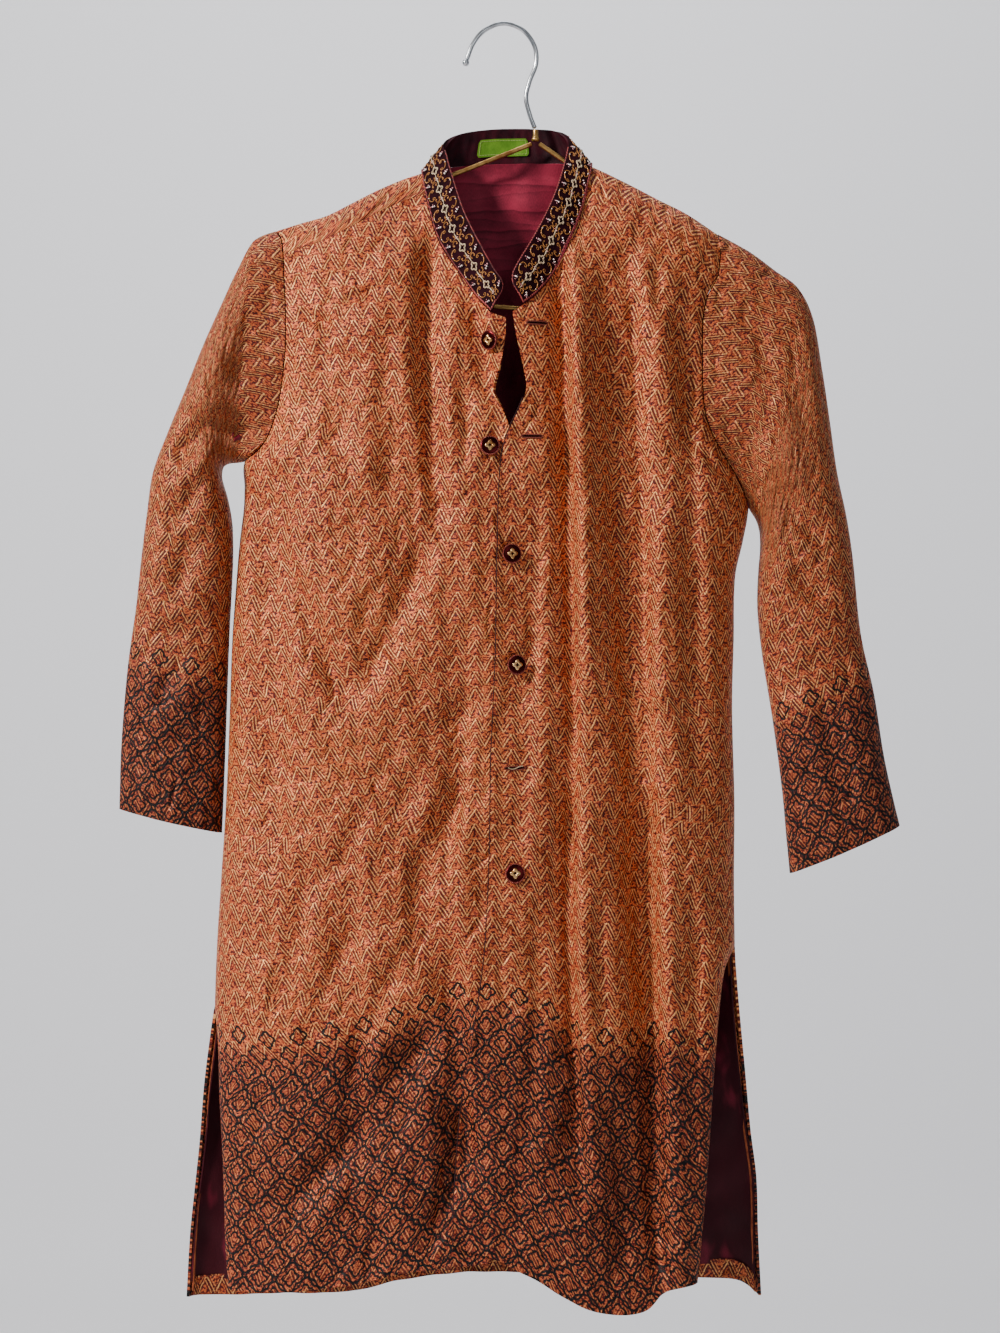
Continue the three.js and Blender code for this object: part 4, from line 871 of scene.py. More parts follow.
def seamLine(start, end):
    # x and drop of the shoulder seam between two x
    x = np.linspace(start, end, 40)
    return np.column_stack([x, smoothAt(shoulderRows, x, 2)])


def sideEdge(side, face, hemCorner):
    # armhole below the shoulder seam, then the side line and the slit's edge down to the hem
    armhole = curveThrough(armholes[side])
    armhole = armhole[armhole[:, 1] >= armholes[side][seamPoint, 1]]
    armhole[0] = armholes[side][seamPoint]
    drops = np.linspace(armhole[-1, 1], hemCorner[1], 260)[1:]
    line = np.column_stack([sideLine(drops, side, face), drops])
    line[:, 0] += (hemCorner[0] - line[-1, 0]) * ease(drops, hemCorner[1] - 40, hemCorner[1])
    return armhole, line


def clothMap(points, x, drop, middle=0.5):
    # flat place of each point: across, with the length lost in folds; down, with the
    # thread's tilt above the border taken out
    plane = np.stack([x, drop], axis=-1)
    folded, flat = (np.linalg.norm(np.diff(grid, axis=1), axis=-1) for grid in (points, plane))
    extra = folded - flat
    run = np.concatenate([np.zeros((len(x), 1)), np.cumsum(np.maximum(extra, 0), axis=1)], axis=1)
    run = run - run[:, [int(middle * (x.shape[1] - 1))]]
    lift = (smoothAt(borderLine, x, 1) - borderLevel) * ease(drop, 330, 640)
    return np.stack([x + run, drop - lift], axis=-1)


def frontPanel(side):
    # one front: its places on the common skin, the under one stepped back below the lap
    under = side == "left"
    shoulder = seamLine(*seamEnds[side])
    if under:
        neck = np.concatenate([neckLine(leftSeamRow, 0), underEdge[:1]])
        tops = [np.concatenate([[armholes["left"][seamPoint]], shoulder[1:]]), neck]
        hem, edge = curveThrough(underHem), curveThrough(underEdge)
    else:
        neck = np.concatenate([overEdge[:1], neckLine(len(neckRows) - 1, rightSeamRow)])
        tops = [neck, np.concatenate([shoulder[:-1], [armholes["right"][seamPoint]]])]
        hem, edge = curveThrough(overHem), curveThrough(overEdge)
    armhole, line = sideEdge(side, "front", hem[0] if under else hem[-1])
    outerParts = [armhole, np.concatenate([armhole[-1:], line])]
    outer = np.concatenate([armhole, line])
    top = np.concatenate([tops[0], tops[1][1:]])
    columns = sharesOf(tops, cloth["grain"] * 0.9, crowdStart=under, crowdEnd=not under)
    rows = sharesOf(outerParts, cloth["grain"])
    left, right = (outer, edge) if under else (edge, outer)
    places = panelPlaces(top, hem, left, right, columns, rows)
    x, drop = places[..., 0], places[..., 1] + cloth["seam"] * (1 - rows[:, None])
    points, inward = bodySkin("front", x, drop)
    if under:
        points = points + inward * underStep(x, drop)[..., None]
    else:
        fromEdge = x - smoothAt(np.array(overEdge)[:, ::-1], drop, 1)
        proud = lapping["proud"] * np.exp(-((fromEdge / lapping["edge"]) ** 2))
        points = points - inward * proud[..., None]
    return (points, inward), clothMap(points, x, drop, 0.9 if under else 0.1)


def backParts():
    # upper edge of the back, over the ridge: forward seams and the back of the neck
    def over(line):
        return np.column_stack([line[:, 0], 2 * ridgeAt(line[:, 0]) - line[:, 1]])

    rows = np.linspace(leftSeamRow, rightSeamRow, 89)
    neck = np.column_stack([smoothAt(neckRows, rows, 1), smoothAt(neckRows, rows, 2)])
    ridge = ridgeAt(neck[:, 0])
    behind = ease(rows, backFirst, backFirst + 1) * (1 - ease(rows, backLast - 1, backLast))
    neck[:, 1] = mix(2 * ridge - neck[:, 1], neck[:, 1], behind)
    left = over(np.concatenate([[armholes["left"][seamPoint]], seamLine(*seamEnds["left"])[1:]]))
    right = over(np.concatenate([seamLine(*seamEnds["right"])[:-1], [armholes["right"][seamPoint]]]))
    return [left, neck, right]


def backPanel(spacing, shorter=0.0):
    # the back: crowded rows over the shoulder's ridge, then an even panel to the hem, or to
    # above it by a share of the panel's length
    parts = backParts()
    top = np.concatenate([parts[0], parts[1][1:], parts[2][1:]])
    columns = sharesOf(parts, spacing, crowdStart=True, crowdEnd=True)
    start = alongLine(top, columns)
    yokeX = start[:, 0].copy()
    for _ in range(int(40 / spacing)):
        yokeX[1:-1] = (yokeX[:-2] + 2 * yokeX[1:-1] + yokeX[2:]) / 4
    yoke = np.column_stack([yokeX, smoothAt(shoulderRows, yokeX, 2)])
    shares = np.linspace(0, 1, 27)[:-1]
    swing = (2 * shares - 1)[:, None]
    u = columns[None]
    x = mix(start[:, 0][None], yoke[:, 0][None], shares[:, None])
    topRidge = ridgeAt(start[:, 0])[None]
    straight = mix(start[:, 1][None], yoke[:, 1][None], shares[:, None])
    bentX = x.copy()
    for side, weight in (("left", (1 - u) ** 8), ("right", u**8)):
        hole = curveThrough(armholes[side])[:, ::-1]
        first, seam = armholes[side][0], armholes[side][seamPoint]
        level = first[1] + np.abs(swing) ** 1.8 * (seam[1] - first[1])
        bentX = bentX + weight * (np.interp(level, hole[:, 0], hole[:, 1]) - seam[0])
    ridge = ridgeAt(x)
    reach = np.where(swing < 0, ridge - start[:, 1][None], yoke[:, 1][None] - ridge)
    away = np.sign(swing) * np.abs(swing) ** 1.8 * reach
    bent = ridgeAt(bentX) + away
    flat = start[:, 1][None] >= topRidge
    x = np.where(flat, x, bentX)
    height = np.where(flat, straight, bent)
    shoulderPoints, shoulderIn = wrapSkin(x, height)
    leftHole, leftLine = sideEdge("left", "back", backHem[0])
    rightHole, rightLine = sideEdge("right", "back", backHem[-1])
    left = np.concatenate([leftHole, leftLine])
    right = np.concatenate([rightHole, rightLine])
    rows = sharesOf([leftHole, np.concatenate([leftHole[-1:], leftLine])], spacing)
    rows = rows[rows < 1 - shorter - 1e-6] if shorter else rows
    yokeShares = lengthsAlong(yoke) / lengthsAlong(yoke)[-1]
    places = panelPlaces(yoke, curveThrough(backHem), left, right, yokeShares, rows)
    bodyPoints, bodyIn = bodySkin("back", places[..., 0], places[..., 1])
    points = np.concatenate([shoulderPoints, bodyPoints])
    inward = np.concatenate([shoulderIn, bodyIn])
    flatX = np.concatenate([x, places[..., 0]])
    flatDrop = np.concatenate([height, places[..., 1]])
    return (points, inward), clothMap(points, flatX, flatDrop)


# sleeves

sleeveForm = settings(around=76, down=190, backFolds=0.35)      # mesh, and folds behind as a share


def sleevePlaces(side, turn, row):
    # rings between the outer and the inner edge, deeper in front; the first rows blend
    # from the armhole to the hanging tube
    rows = np.column_stack([np.arange(len(sleeveRows[side])), sleeveRows[side]])
    swing = np.sin(2 * math.pi * turn)
    front = swing >= 0
    share = (1 - np.cos(2 * math.pi * turn)) / 2
    x = mix(smoothAt(rows, row, 1), smoothAt(rows, row, 3), share)
    drop = mix(smoothAt(rows, row, 2), smoothAt(rows, row, 4), share)
    depth = np.abs(swing) * np.where(front, smoothAt(rows, row, 5), smoothAt(rows, row, 6))
    crease = foldDepth(sleeveFolds[side], x, drop) * swing
    crease = np.where(front, 1.0, sleeveForm["backFolds"]) * crease
    crease = crease + ripple(x, drop, np.where(front, 1.0, 3.3)) * np.abs(swing)
    limit = 0.5 * np.maximum(depth, 0.2)
    crease = limit * np.tanh(crease / limit)
    y = np.where(front, -1, 1) * (depth - crease)
    hanging = np.stack([x, y, -drop], axis=-1)
    name, sign = ("left", -1.0) if side == "right" else ("right", 1.0)
    hole = curveThrough(armholes[name])
    seamDrop = mix(hole[0, 1], hole[-1, 1], share)
    seamX, above, below = (np.interp(seamDrop + step, hole[:, 1], hole[:, 0]) for step in (0, -1, 1))
    slope = (below - above) / 2
    out = unit(np.stack([np.full(np.shape(slope), sign), sign * slope], axis=-1)) * cloth["armholeSeam"]
    frontSeam, _ = bodySkin("front", seamX, seamDrop)
    backSeam, _ = bodySkin("back", seamX, seamDrop)
    seam = np.where(front[..., None], frontSeam, backSeam)
    seam = seam + np.stack([out[..., 0], 0 * slope, out[..., 1]], axis=-1)
    share = np.where(row < 1, ease(row, -0.3, 1.0) * row, 1.0)[..., None]
    return mix(seam, hanging, share)


def sleeve(side):
    # grid around and down a sleeve with inward directions and its flat map
    lastRow = len(sleeveRows[side]) - 1
    count = sleeveForm["around"]
    turns = np.mod(0.5 - np.arange(count) / count, 1)
    rows = np.linspace(0, lastRow, sleeveForm["down"])
    row, turn = np.meshgrid(rows, turns, indexing="ij")
    points = sleevePlaces(side, turn, row)
    around = sleevePlaces(side, turn + 0.002, row) - sleevePlaces(side, turn - 0.002, row)
    lower, upper = np.minimum(row + 0.02, lastRow), np.maximum(row - 0.02, 0)
    down = sleevePlaces(side, turn, lower) - sleevePlaces(side, turn, upper)
    inward = unit(np.cross(around, down))
    centre = points.mean(axis=1, keepdims=True)
    inward = inward * np.sign(np.sum(inward * (centre - points), axis=-1, keepdims=True))
    closed = np.concatenate([points, points[:, :1]], axis=1)
    steps = np.linalg.norm(np.diff(closed, axis=1), axis=-1)
    run = np.concatenate([np.zeros((len(rows), 1)), np.cumsum(steps, axis=1)], axis=1)
    run = run - run[:, [count // 2]]
    falls = np.linalg.norm(np.diff(closed, axis=0), axis=-1)
    length = np.concatenate([np.zeros((1, closed.shape[1])), np.cumsum(falls, axis=0)])
    length = length - length[-1:]
    return (points, inward), np.stack([run, length], axis=-1)


# collar

collarForm = settings(height=24.0, layer=1.2, gap=0.15, bulge=0.8, corner=0.5, cornerDrop=0.22)


def collarPlaces(row, share):
    # straight from the neck seam to the band's upper edge, rounded off at both ends
    last = len(neckRows) - 1
    x, drop = smoothAt(neckRows, row, 1), smoothAt(neckRows, row, 2)
    ridge = ridgeAt(x)
    behind = (row > backFirst + 0.02) & (row < backLast - 0.02)
    frontPoint, _ = bodySkin("front", x, np.maximum(drop, ridge))
    backPoint, _ = bodySkin("back", x, np.maximum(drop, ridge))
    base = np.where(behind[..., None], backPoint, frontPoint)
    top = np.stack([sign * smoothAt(neckRows, row, k) for k, sign in ((4, 1), (5, 1), (6, -1))], axis=-1)
    height = np.linalg.norm(top - base, axis=-1)
    rounded = 1 - swell(np.minimum(row, last - row) / collarForm["corner"], 1)
    corner = 1 - collarForm["cornerDrop"] * rounded
    start = cloth["collarSeam"] / height
    return mix(base, top, (start + (corner - start) * share)[..., None])


def collarSkin(row, share):
    # the band's middle surface, slightly crowned between its edges
    last = len(neckRows) - 1
    step = 0.05
    points = collarPlaces(row, share)
    ahead, behind = np.minimum(row + step, last), np.maximum(row - step, 0)
    along = collarPlaces(ahead, share) - collarPlaces(behind, share)
    up = collarPlaces(row, np.ones(np.shape(row))) - collarPlaces(row, np.zeros(np.shape(row)))
    inward = unit(np.cross(along, up))
    centre = np.array([2, -14, -115.0])
    inward = inward * np.sign(np.sum(inward * (centre - points), axis=-1, keepdims=True))
    points = points - inward * (collarForm["bulge"] * np.sin(math.pi * share))[..., None]
    return points, inward


def collarLengths():
    # running length of the band's middle line, to place embroidery by millimetres
    rows = np.linspace(0, len(neckRows) - 1, 400)
    points, _ = collarSkin(rows, np.full(400, 0.5))
    return rows, lengthsAlong(points)


def collarGrid(step=1.3, heights=19):
    # even columns along the band's middle line, even rows up it
    rows, lengths = collarLengths()
    marks = np.linspace(0, lengths[-1], int(lengths[-1] / step))
    at = np.interp(marks, lengths, rows)
    share, row = np.meshgrid(np.linspace(0, 1, heights), at, indexing="ij")
    points, inward = collarSkin(row, share)
    flat = np.stack([np.broadcast_to(marks, share.shape), share * collarForm["height"]], axis=-1)
    return (points, inward), flat


def collarPoint(along, across, lift):
    # place on the band's outside from millimetres along it and across its middle
    rows, lengths = collarLengths()
    row = np.interp(along, lengths, rows)
    points, inward = collarSkin(row, np.clip(0.5 + across / collarForm["height"], 0.0, 1.0))
    outside = collarForm["gap"] + collarForm["layer"]
    return points - inward * (outside + lift)[..., None], -inward


embroidery = settings(
    repeat=15.2, ends=12.5,                  # wanted step of the flowers, and room at both ends
    scrollHeight=7.7, scrollSize=(7.2, 5.0), smallScale=0.52, thread=0.32,
    petals=2.15, petalDepth=0.6, petalThread=0.5, stemStart=2.6, shortStem=9.5,
    lift=0.12,
)


def scroll(steps=40, half=9.0, bend=0.12, curl=0.0305):
    # a C whose curvature grows towards both ends, so that they roll up
    s = np.linspace(-half, half, steps)
    heading = bend * s + curl * s**3 / 3
    step = s[1] - s[0]
    x, y = np.cumsum(np.cos(heading)) * step, np.cumsum(np.sin(heading)) * step
    form = np.stack([x - x.mean(), y - (y.max() + y.min()) / 2], axis=-1)
    return form / np.ptp(form, axis=0) * embroidery["scrollSize"]


def makeEmbroidery():
    # a flower at each step with stems between, a large scroll on both sides of it and four
    # small ones round the middle between two flowers, all as threads on the band
    _, lengths = collarLengths()
    inner = lengths[-1] - 2 * embroidery["ends"]
    count = int(round(inner / embroidery["repeat"])) + 1
    repeat = inner / (count - 1)
    centres = embroidery["ends"] + np.arange(count) * repeat
    form = scroll()
    steps = len(form)
    lines, picks, widths = [], [], []

    def add(shape, pick, width, where):
        lines.append(shape[None] + where[:, None, :])
        picks.append(np.full(len(where), pick))
        widths.append(np.broadcast_to(width, (len(where), steps)))

    t = np.linspace(0, 1, steps)
    bell = np.sin(math.pi * t)
    wave = np.sin(2 * math.pi * t)
    taper = embroidery["thread"] * (0.55 + 0.45 * bell)
    flower = 2 * math.pi * t
    radius = embroidery["petals"] + embroidery["petalDepth"] * np.cos(4 * flower)
    petals = np.stack([radius * np.cos(flower), radius * np.sin(flower)], axis=-1)
    middle = np.column_stack([centres, np.zeros(count)])
    between = np.column_stack([np.append(centres[0] - repeat, centres), np.zeros(count + 1)])
    add(petals, 0, np.full(steps, embroidery["petalThread"]), middle)
    begin = embroidery["stemStart"]
    stem = np.stack([mix(begin, repeat - begin, t), 0.35 * wave], axis=-1)
    shortStem = np.stack([mix(begin, embroidery["shortStem"], t), 0.3 * wave], axis=-1)
    add(stem, 0, 0.15 + 0.42 * bell**2, middle[:-1])
    add(shortStem, 0, 0.15 + 0.4 * bell**2, middle[-1:])
    add(shortStem * [-1, 1], 0, 0.15 + 0.4 * bell**2, middle[:1])
    for side in (-1, 1):
        big = form * np.array([1, -side]) + np.array([0, side * embroidery["scrollHeight"]])
        add(big, 1, taper, middle)
        for way in (-1, 1):
            small = form[:, ::-1] * embroidery["smallScale"] * np.array([way, side])
            add(small + np.array([repeat / 2 + way * 1.7, side * 3.3]), 1, taper * 0.85, between)
    flat, widths, picks = (np.concatenate(part) for part in (lines, widths, picks))
    lift = np.full(flat.shape[:2], embroidery["lift"])
    points, normals = collarPoint(flat[..., 0], flat[..., 1], lift)
    threads = [creamThread, goldThread]
    made = tubes("collar_embroidery", points, normals, widths, 5, threads, picks)
    return made, centres, repeat


# beads as places beside a flower or beside the middle between two: along, to both sides,
# size, and which of pearl, dark and pink
beadForm = settings(
    flower=[(0, 0, 0.7, 1)], edge=[(0, 10.1, 0.5, 0)],
    cluster=[(-0.5, 7.4, 0.72, 0), (0.1, 8.8, 0.7, 0), (0.8, 10.1, 0.62, 2), (1.4, 8.3, 0.5, 2),
             (0, 0.9, 0.5, 2)],
)


def makeBeads(centres, repeat):
    # small glass beads, each a half turn of a flattened circle: one in each flower, one at
    # both edges beside it, and clusters between flowers
    between = np.append(centres[0] - repeat, centres) + repeat / 2
    groups = ((centres, (1,), "flower"), (centres, (-1, 1), "edge"), (between, (-1, 1), "cluster"))
    spots = np.array([
        [start + x, side * y, size, pick]
        for starts, sides, group in groups
        for start in starts for side in sides for x, y, size, pick in beadForm[group]
    ])
    points, normals = collarPoint(spots[:, 0], spots[:, 1], np.full(len(spots), 0.15))
    angle = np.linspace(0, math.pi, 6)
    profile = np.stack([np.sin(angle), 0.8 * (1 - np.cos(angle))], axis=-1)
    profiles = spots[:, 2, None, None] * profile
    picks = spots[:, 3].astype(int)
    return turned("collar_beads", profiles, points, normals, 8, [pearl, darkBeadAndHoleShade, pinkBead], picks)


pipingForm = settings(radius=0.52, twist=2.4, turnLeft=6.6, turnRight=6.4, liftLow=1.55, liftHigh=0.75)


def cordAlong(name, line, normal, radius, twist, materials, sides=8):
    # two twisted strands as one tube: its radius swells twice a turn, the turn runs along
    lengths = lengthsAlong(line)
    marks = np.arange(0, lengths[-1], radius * 0.8)
    line, normal = columnsAt(marks, lengths, line), columnsAt(marks, lengths, normal)
    angle = np.arange(sides) * 2 * math.pi / sides
    swollen = radius * (1 + 0.24 * np.cos(2 * angle[None] - 2 * math.pi * marks[:, None] / twist))
    swollen[[0, -1]] *= 0.3
    return tubes(name, line[None], normal[None], swollen[None], sides, materials, tip=0, sharp=80)


def makePiping():
    # twisted cord along the band's seam, up both ends and along the upper edge as far as
    # the shoulders
    last = len(neckRows) - 1
    turnLeft, turnRight = pipingForm["turnLeft"], last - pipingForm["turnRight"]
    ends = np.linspace(0, 1, 60)[1:-1]
    route = np.concatenate([
        np.column_stack([np.linspace(turnLeft, 0, 240), np.full(240, 1.01)]),
        np.column_stack([np.full(58, 0.0), 1 - ends]),
        np.column_stack([np.linspace(0, last, 700), np.full(700, 0.02)]),
        np.column_stack([np.full(58, float(last)), ends]),
        np.column_stack([np.linspace(last, turnRight, 240), np.full(240, 1.01)]),
    ])
    points, inward = collarSkin(route[:, 0], route[:, 1])
    lift = np.where(route[:, 1] > 0.5, pipingForm["liftHigh"], pipingForm["liftLow"])
    line = points - inward * lift[:, None]
    radius, twist = pipingForm["radius"], pipingForm["twist"]
    return cordAlong("collar_piping", line, -inward, radius, twist, [pipingThread])


# finishes

print("finishes")
bodyCloth = brocadeMaterial("rust_brocade", borderLevel)
# the sleeves and the hem strip get painted shade over the whole cloth: 0.2 and 0.25
sleeveCloth = brocadeMaterial("rust_brocade_sleeve", -104.0, 0.2)
stripCloth = brocadeMaterial("turned_brocade", 5000.0, 0.25)      # no border: its level is out of reach
# painted highlight and shade along the lining's pressed creases: level, tilt, strength
neckCreaseShading = (
    (101, 0.03, 0.35), (108, -0.1, 0.2), (118.5, 0.0, 0.5), (125, 0.1, 0.2), (131, -0.02, 0.5),
    (137, 0.06, 0.25), (141.5, -0.12, 0.45), (150, 0.1, 0.25), (157, 0.05, 0.4),
)
maroonSatin = satinMaterial("maroon_satin", paint(112, 24, 42), paint(60, 8, 18), shine=0.25)
# lower down the lining turns to painted shade, in patches
pleatedSatin = satinMaterial(
    "pleated_satin", paint(164, 46, 70), paint(104, 26, 44), rough=0.55, shine=0.15,
    creaseShading=neckCreaseShading, dim=(200, 420, 0.9, paint(34, 3, 9)),
)
turnedCopper = satinMaterial("turned_copper", paint(196, 104, 62), paint(118, 48, 30), 0.2, 0.6, 0.2)
facingSatin = satinMaterial("dark_facing", paint(62, 8, 24), paint(22, 2, 8), 0.35, 0.6, 0.12)
collarGround = satinMaterial("collar_ground", paint(46, 6, 18), paint(20, 2, 8), 0.3, 0.8, 0.08)
labelWeave = satinMaterial("label_weave", paint(104, 148, 40), paint(72, 116, 26), 0.3, 0.7, 0.15)
# each thread's second colour, here and on the button's rim, is painted shade between its turns
creamThread = threadMaterial("cream_thread", paint(228, 204, 168), paint(150, 116, 82), 0.45, 0.1)
goldThread = threadMaterial("gold_thread", paint(206, 140, 74), paint(112, 64, 30), 0.4, 0.3)
pipingThread = threadMaterial("piping_thread", paint(150, 54, 50), paint(64, 10, 18), 0.6, 0.0, 1.9)
stitchThread = threadMaterial("stitch_thread", paint(132, 52, 34), paint(76, 22, 18), 0.7)
# a dark thread that paints the shadow beside the lap's edge
lapShadowThread = threadMaterial("lap_shadow_thread", paint(58, 12, 18), paint(30, 5, 10), 0.8)
labelThread = threadMaterial("label_thread", paint(176, 196, 104), paint(110, 140, 60), 0.6)
pearl = metalMaterial("pearl_bead", paint(238, 222, 214), paint(214, 180, 178), 0.3, 0.1)
pinkBead = metalMaterial("pink_bead", paint(214, 158, 160), paint(180, 110, 118), 0.3, 0.1)
# dark glass beads, and painted shade in the holes of buttons and buttonholes
darkBeadAndHoleShade = metalMaterial("dark_bead_and_hole_shade", paint(40, 14, 18), paint(24, 8, 12), 0.3, 0.1)
buttonLacquer = metalMaterial("button_lacquer", paint(70, 18, 20), paint(48, 10, 14), 0.22, 0.1)
buttonRim = threadMaterial("button_rim", paint(150, 58, 44), paint(84, 24, 22), 0.4, 0.2, 0.9)
buttonGold = metalMaterial("button_gold", paint(226, 186, 130), paint(170, 116, 66), 0.25, 0.1)
steelWire = metalMaterial("steel_wire", paint(205, 208, 212), paint(170, 172, 176), 0.16, 0.1)
goldWire = metalMaterial("gold_wire", paint(206, 164, 98), paint(150, 104, 56), 0.3, 0.15)


# cloth pieces

thick = cloth["brocade"]


def brocadePiece(node, panel, finishes, loops=False):
    # a panel's skin as a wall of brocade, with a second finish on its inside
    skin, flat = panel
    made = wall("kurta_" + node, skin, 0, thick, flat, finishes, loops)
    return place(made, node)


print("fronts and back")
frontUnder = brocadePiece("front_under", frontPanel("left"), [bodyCloth, maroonSatin])
frontOver = brocadePiece("front_over", frontPanel("right"), [bodyCloth, maroonSatin])
back = brocadePiece("back", backPanel(cloth["grain"] * 1.05), [bodyCloth])


# satin of the back: mesh cell, share by which it ends above the hem, looseness below, the folds
# of its pressed neck (level, height, tilt) and how far it rises into the collar
liningForm = settings(
    grain=3.4, shorter=7.0 / 676, loose=1.2, rise=1.9,
    pleats=((101, 1.3, 0.03), (117.5, 1.7, 0.0), (129, 1.0, 0.02), (141, 1.6, 0.08), (158, 1.2, -0.05)),
)


def makeLining():
    # satin inside the back, with pressed pleats across the neck and a loose lower part
    (points, inward), flat = backPanel(liningForm["grain"], liningForm["shorter"])
    x, drop, behind = points[..., 0], -points[..., 2], points[..., 1] > 0
    pleats = np.zeros(x.shape)
    for level, height, tilt in liningForm["pleats"]:
        away = drop - level - tilt * x
        pleats += height * ease(away, -7, 0) * np.exp(-np.maximum(away, 0) / 2.2)
    fade = ease(x, -66, -44) * (1 - ease(x, 46, 66)) * behind
    loose = liningForm["loose"] * (1 + np.sin(0.09 * x + 0.02 * drop)) * ease(drop, 560, 700)
    points = points + inward * (pleats * fade + loose)[..., None]
    backNeck = neckRows[neckRows[:, 3] > 0][:, [1, 2]]
    below = np.maximum(drop - smoothAt(backNeck, x, 1), 0)
    fade = ease(x, -46, -40) * (1 - ease(x, 46, 52)) * behind
    points[..., 2] += liningForm["rise"] * fade * np.exp(-below / 4)
    start = thick + cloth["seam"]
    end = start + cloth["satin"]
    return wall("kurta_lining_back", (points, inward), start, end, flat, [pleatedSatin])


print("lining")
lining = place(makeLining(), "lining_back")


# turned edges on top of the lining: the strip along the hem, and a narrow one inside each slit
liningTop = thick + cloth["seam"] + cloth["satin"]
hemForm = settings(low=1.0, high=13.0, inset=0.006, clearance=0.3, thickness=0.8)
slitForm = settings(
    top={"left": 642, "right": 604}, bottom=824, cell=2.5, width=2.0, clearance=0.25, thickness=0.5,
)


def slitStrip(side):
    # turned edge inside a slit: a narrow strip that follows the back panel's edge
    top, bottom = slitForm["top"][side], slitForm["bottom"]
    drops = np.linspace(top, bottom, int((bottom - top) / slitForm["cell"]))
    sign = 1 if side == "left" else -1
    across = 0.15 + slitForm["width"] * np.linspace(0, 1, 4)
    x = sideLine(drops, side, "back")[:, None] + sign * across[None]
    drop = np.broadcast_to(drops[:, None], x.shape)
    start = liningTop + slitForm["clearance"]
    flat = np.stack([x, drop], axis=-1)
    end = start + slitForm["thickness"]
    return wall("slit_edge_" + side, bodySkin("back", x, drop), start, end, flat, [turnedCopper])


def makeHemStrip():
    # turned brocade along the back's hem
    share = np.linspace(0, 1, 170)
    inset = hemForm["inset"]
    hem = alongLine(curveThrough(backHem), inset + share * (1 - 2 * inset))
    rise = np.linspace(hemForm["low"], hemForm["high"], 7)
    drop = hem[None, :, 1] - rise[:, None]
    x = np.broadcast_to(hem[None, :, 0], drop.shape)
    start = liningTop + hemForm["clearance"]
    end = start + hemForm["thickness"]
    flat = np.stack([x, drop - 500], axis=-1)
    return wall("kurta_hem_facing", bodySkin("back", x, drop), start, end, flat, [stripCloth])


hemStrip = place(makeHemStrip(), "hem_facing")
slitLeft = place(slitStrip("left"), None)
slitRight = place(slitStrip("right"), None)

print("sleeves")
sleeveRight = brocadePiece("sleeve_right", sleeve("right"), [sleeveCloth, maroonSatin], loops=True)
sleeveLeft = brocadePiece("sleeve_left", sleeve("left"), [sleeveCloth, maroonSatin], loops=True)

print("collar")
skin, flat = collarGrid()
layer, gap = collarForm["layer"], collarForm["gap"]
collar = place(wall("kurta_collar", skin, -gap - layer, -gap, flat, [collarGround]), "collar")


def makeFacing():
    # the band's inside, with the fine upright wrinkles of satin turned round a curve
    (points, inward), flat = collarGrid()
    along, across = flat[..., 0], flat[..., 1] / collarForm["height"]
    wrinkle = 0.35 * np.sin(0.9 * along + 1.2 * np.sin(0.21 * along)) * np.sin(math.pi * across)
    points = points + inward * np.maximum(wrinkle, -0.1)[..., None]
    return wall("kurta_collar_facing", (points, inward), gap, gap + layer, flat, [facingSatin])


facing = place(makeFacing(), "collar_facing")
stitches, flowerCentres, flowerStep = makeEmbroidery()
stitches = place(stitches, None)
beads = place(makeBeads(flowerCentres, flowerStep), None)
piping = place(makePiping(), None)


# bare woven label: its middle as a share of the band's height and as x, and its stitches
labelForm = settings(
    width=36.5, height=12, middle=0.47, x=-0.3, thickness=0.5, clearance=0.3, round=0.07,
    stitch=1.6, stitchStep=2.0, stitchThread=0.2, insetX=1.5, insetY=1.3,
)


def labelRow(x):
    # row of the neck's table at an x of its back
    back = neckRows[neckRows[:, 3] > 0]
    return smoothAt(np.column_stack([back[:, 1], back[:, 0]]), x, 1)


def makeLabel():
    # a sheet inside the back of the collar, drawn in a little at its corners
    start = gap + layer + cloth["seam"] + labelForm["clearance"]
    top = start + labelForm["thickness"]
    u, v = np.meshgrid(np.linspace(-1, 1, 37), np.linspace(-1, 1, 13), indexing="xy")
    inset = 1 - labelForm["round"] * np.maximum(np.abs(v) - 0.7, 0) / 0.3
    halfWide, halfHigh = labelForm["width"] / 2, labelForm["height"] / 2
    row = labelRow(labelForm["x"] + u * inset * halfWide)
    skin = collarSkin(row, labelForm["middle"] + v * halfHigh / collarForm["height"])
    flat = np.stack([u * halfWide, v * halfHigh], axis=-1)
    return wall("kurta_label", skin, start, top, flat, [labelWeave]), top


def makeLabelStitches(lift):
    # running stitches inside the label's edge, each a low arch
    halfWide = labelForm["width"] / 2 - labelForm["insetX"]
    halfHigh = labelForm["height"] / 2 - labelForm["insetY"]
    corners = np.array([[-1, -1], [1, -1], [1, 1], [-1, 1], [-1, -1]]) * [halfWide, halfHigh]
    lengths = lengthsAlong(corners)
    starts = np.arange(0.3, lengths[-1] - 1, labelForm["stitchStep"])
    t = np.linspace(0, labelForm["stitch"], 5)
    flat = columnsAt(starts[:, None] + t[None], lengths, corners)
    row = labelRow(labelForm["x"] + flat[..., 0])
    points, inward = collarSkin(row, labelForm["middle"] + flat[..., 1] / collarForm["height"])
    rise = lift + 0.16 * np.sin(math.pi * t / labelForm["stitch"])
    widths = np.full(row.shape, labelForm["stitchThread"])
    paths = points + inward * rise[None, :, None]
    return tubes("label_stitches", paths, inward, widths, 5, [labelThread])


label, labelTop = makeLabel()
place(label, "label")
labelStitches = place(makeLabelStitches(labelTop), None)


# buttons

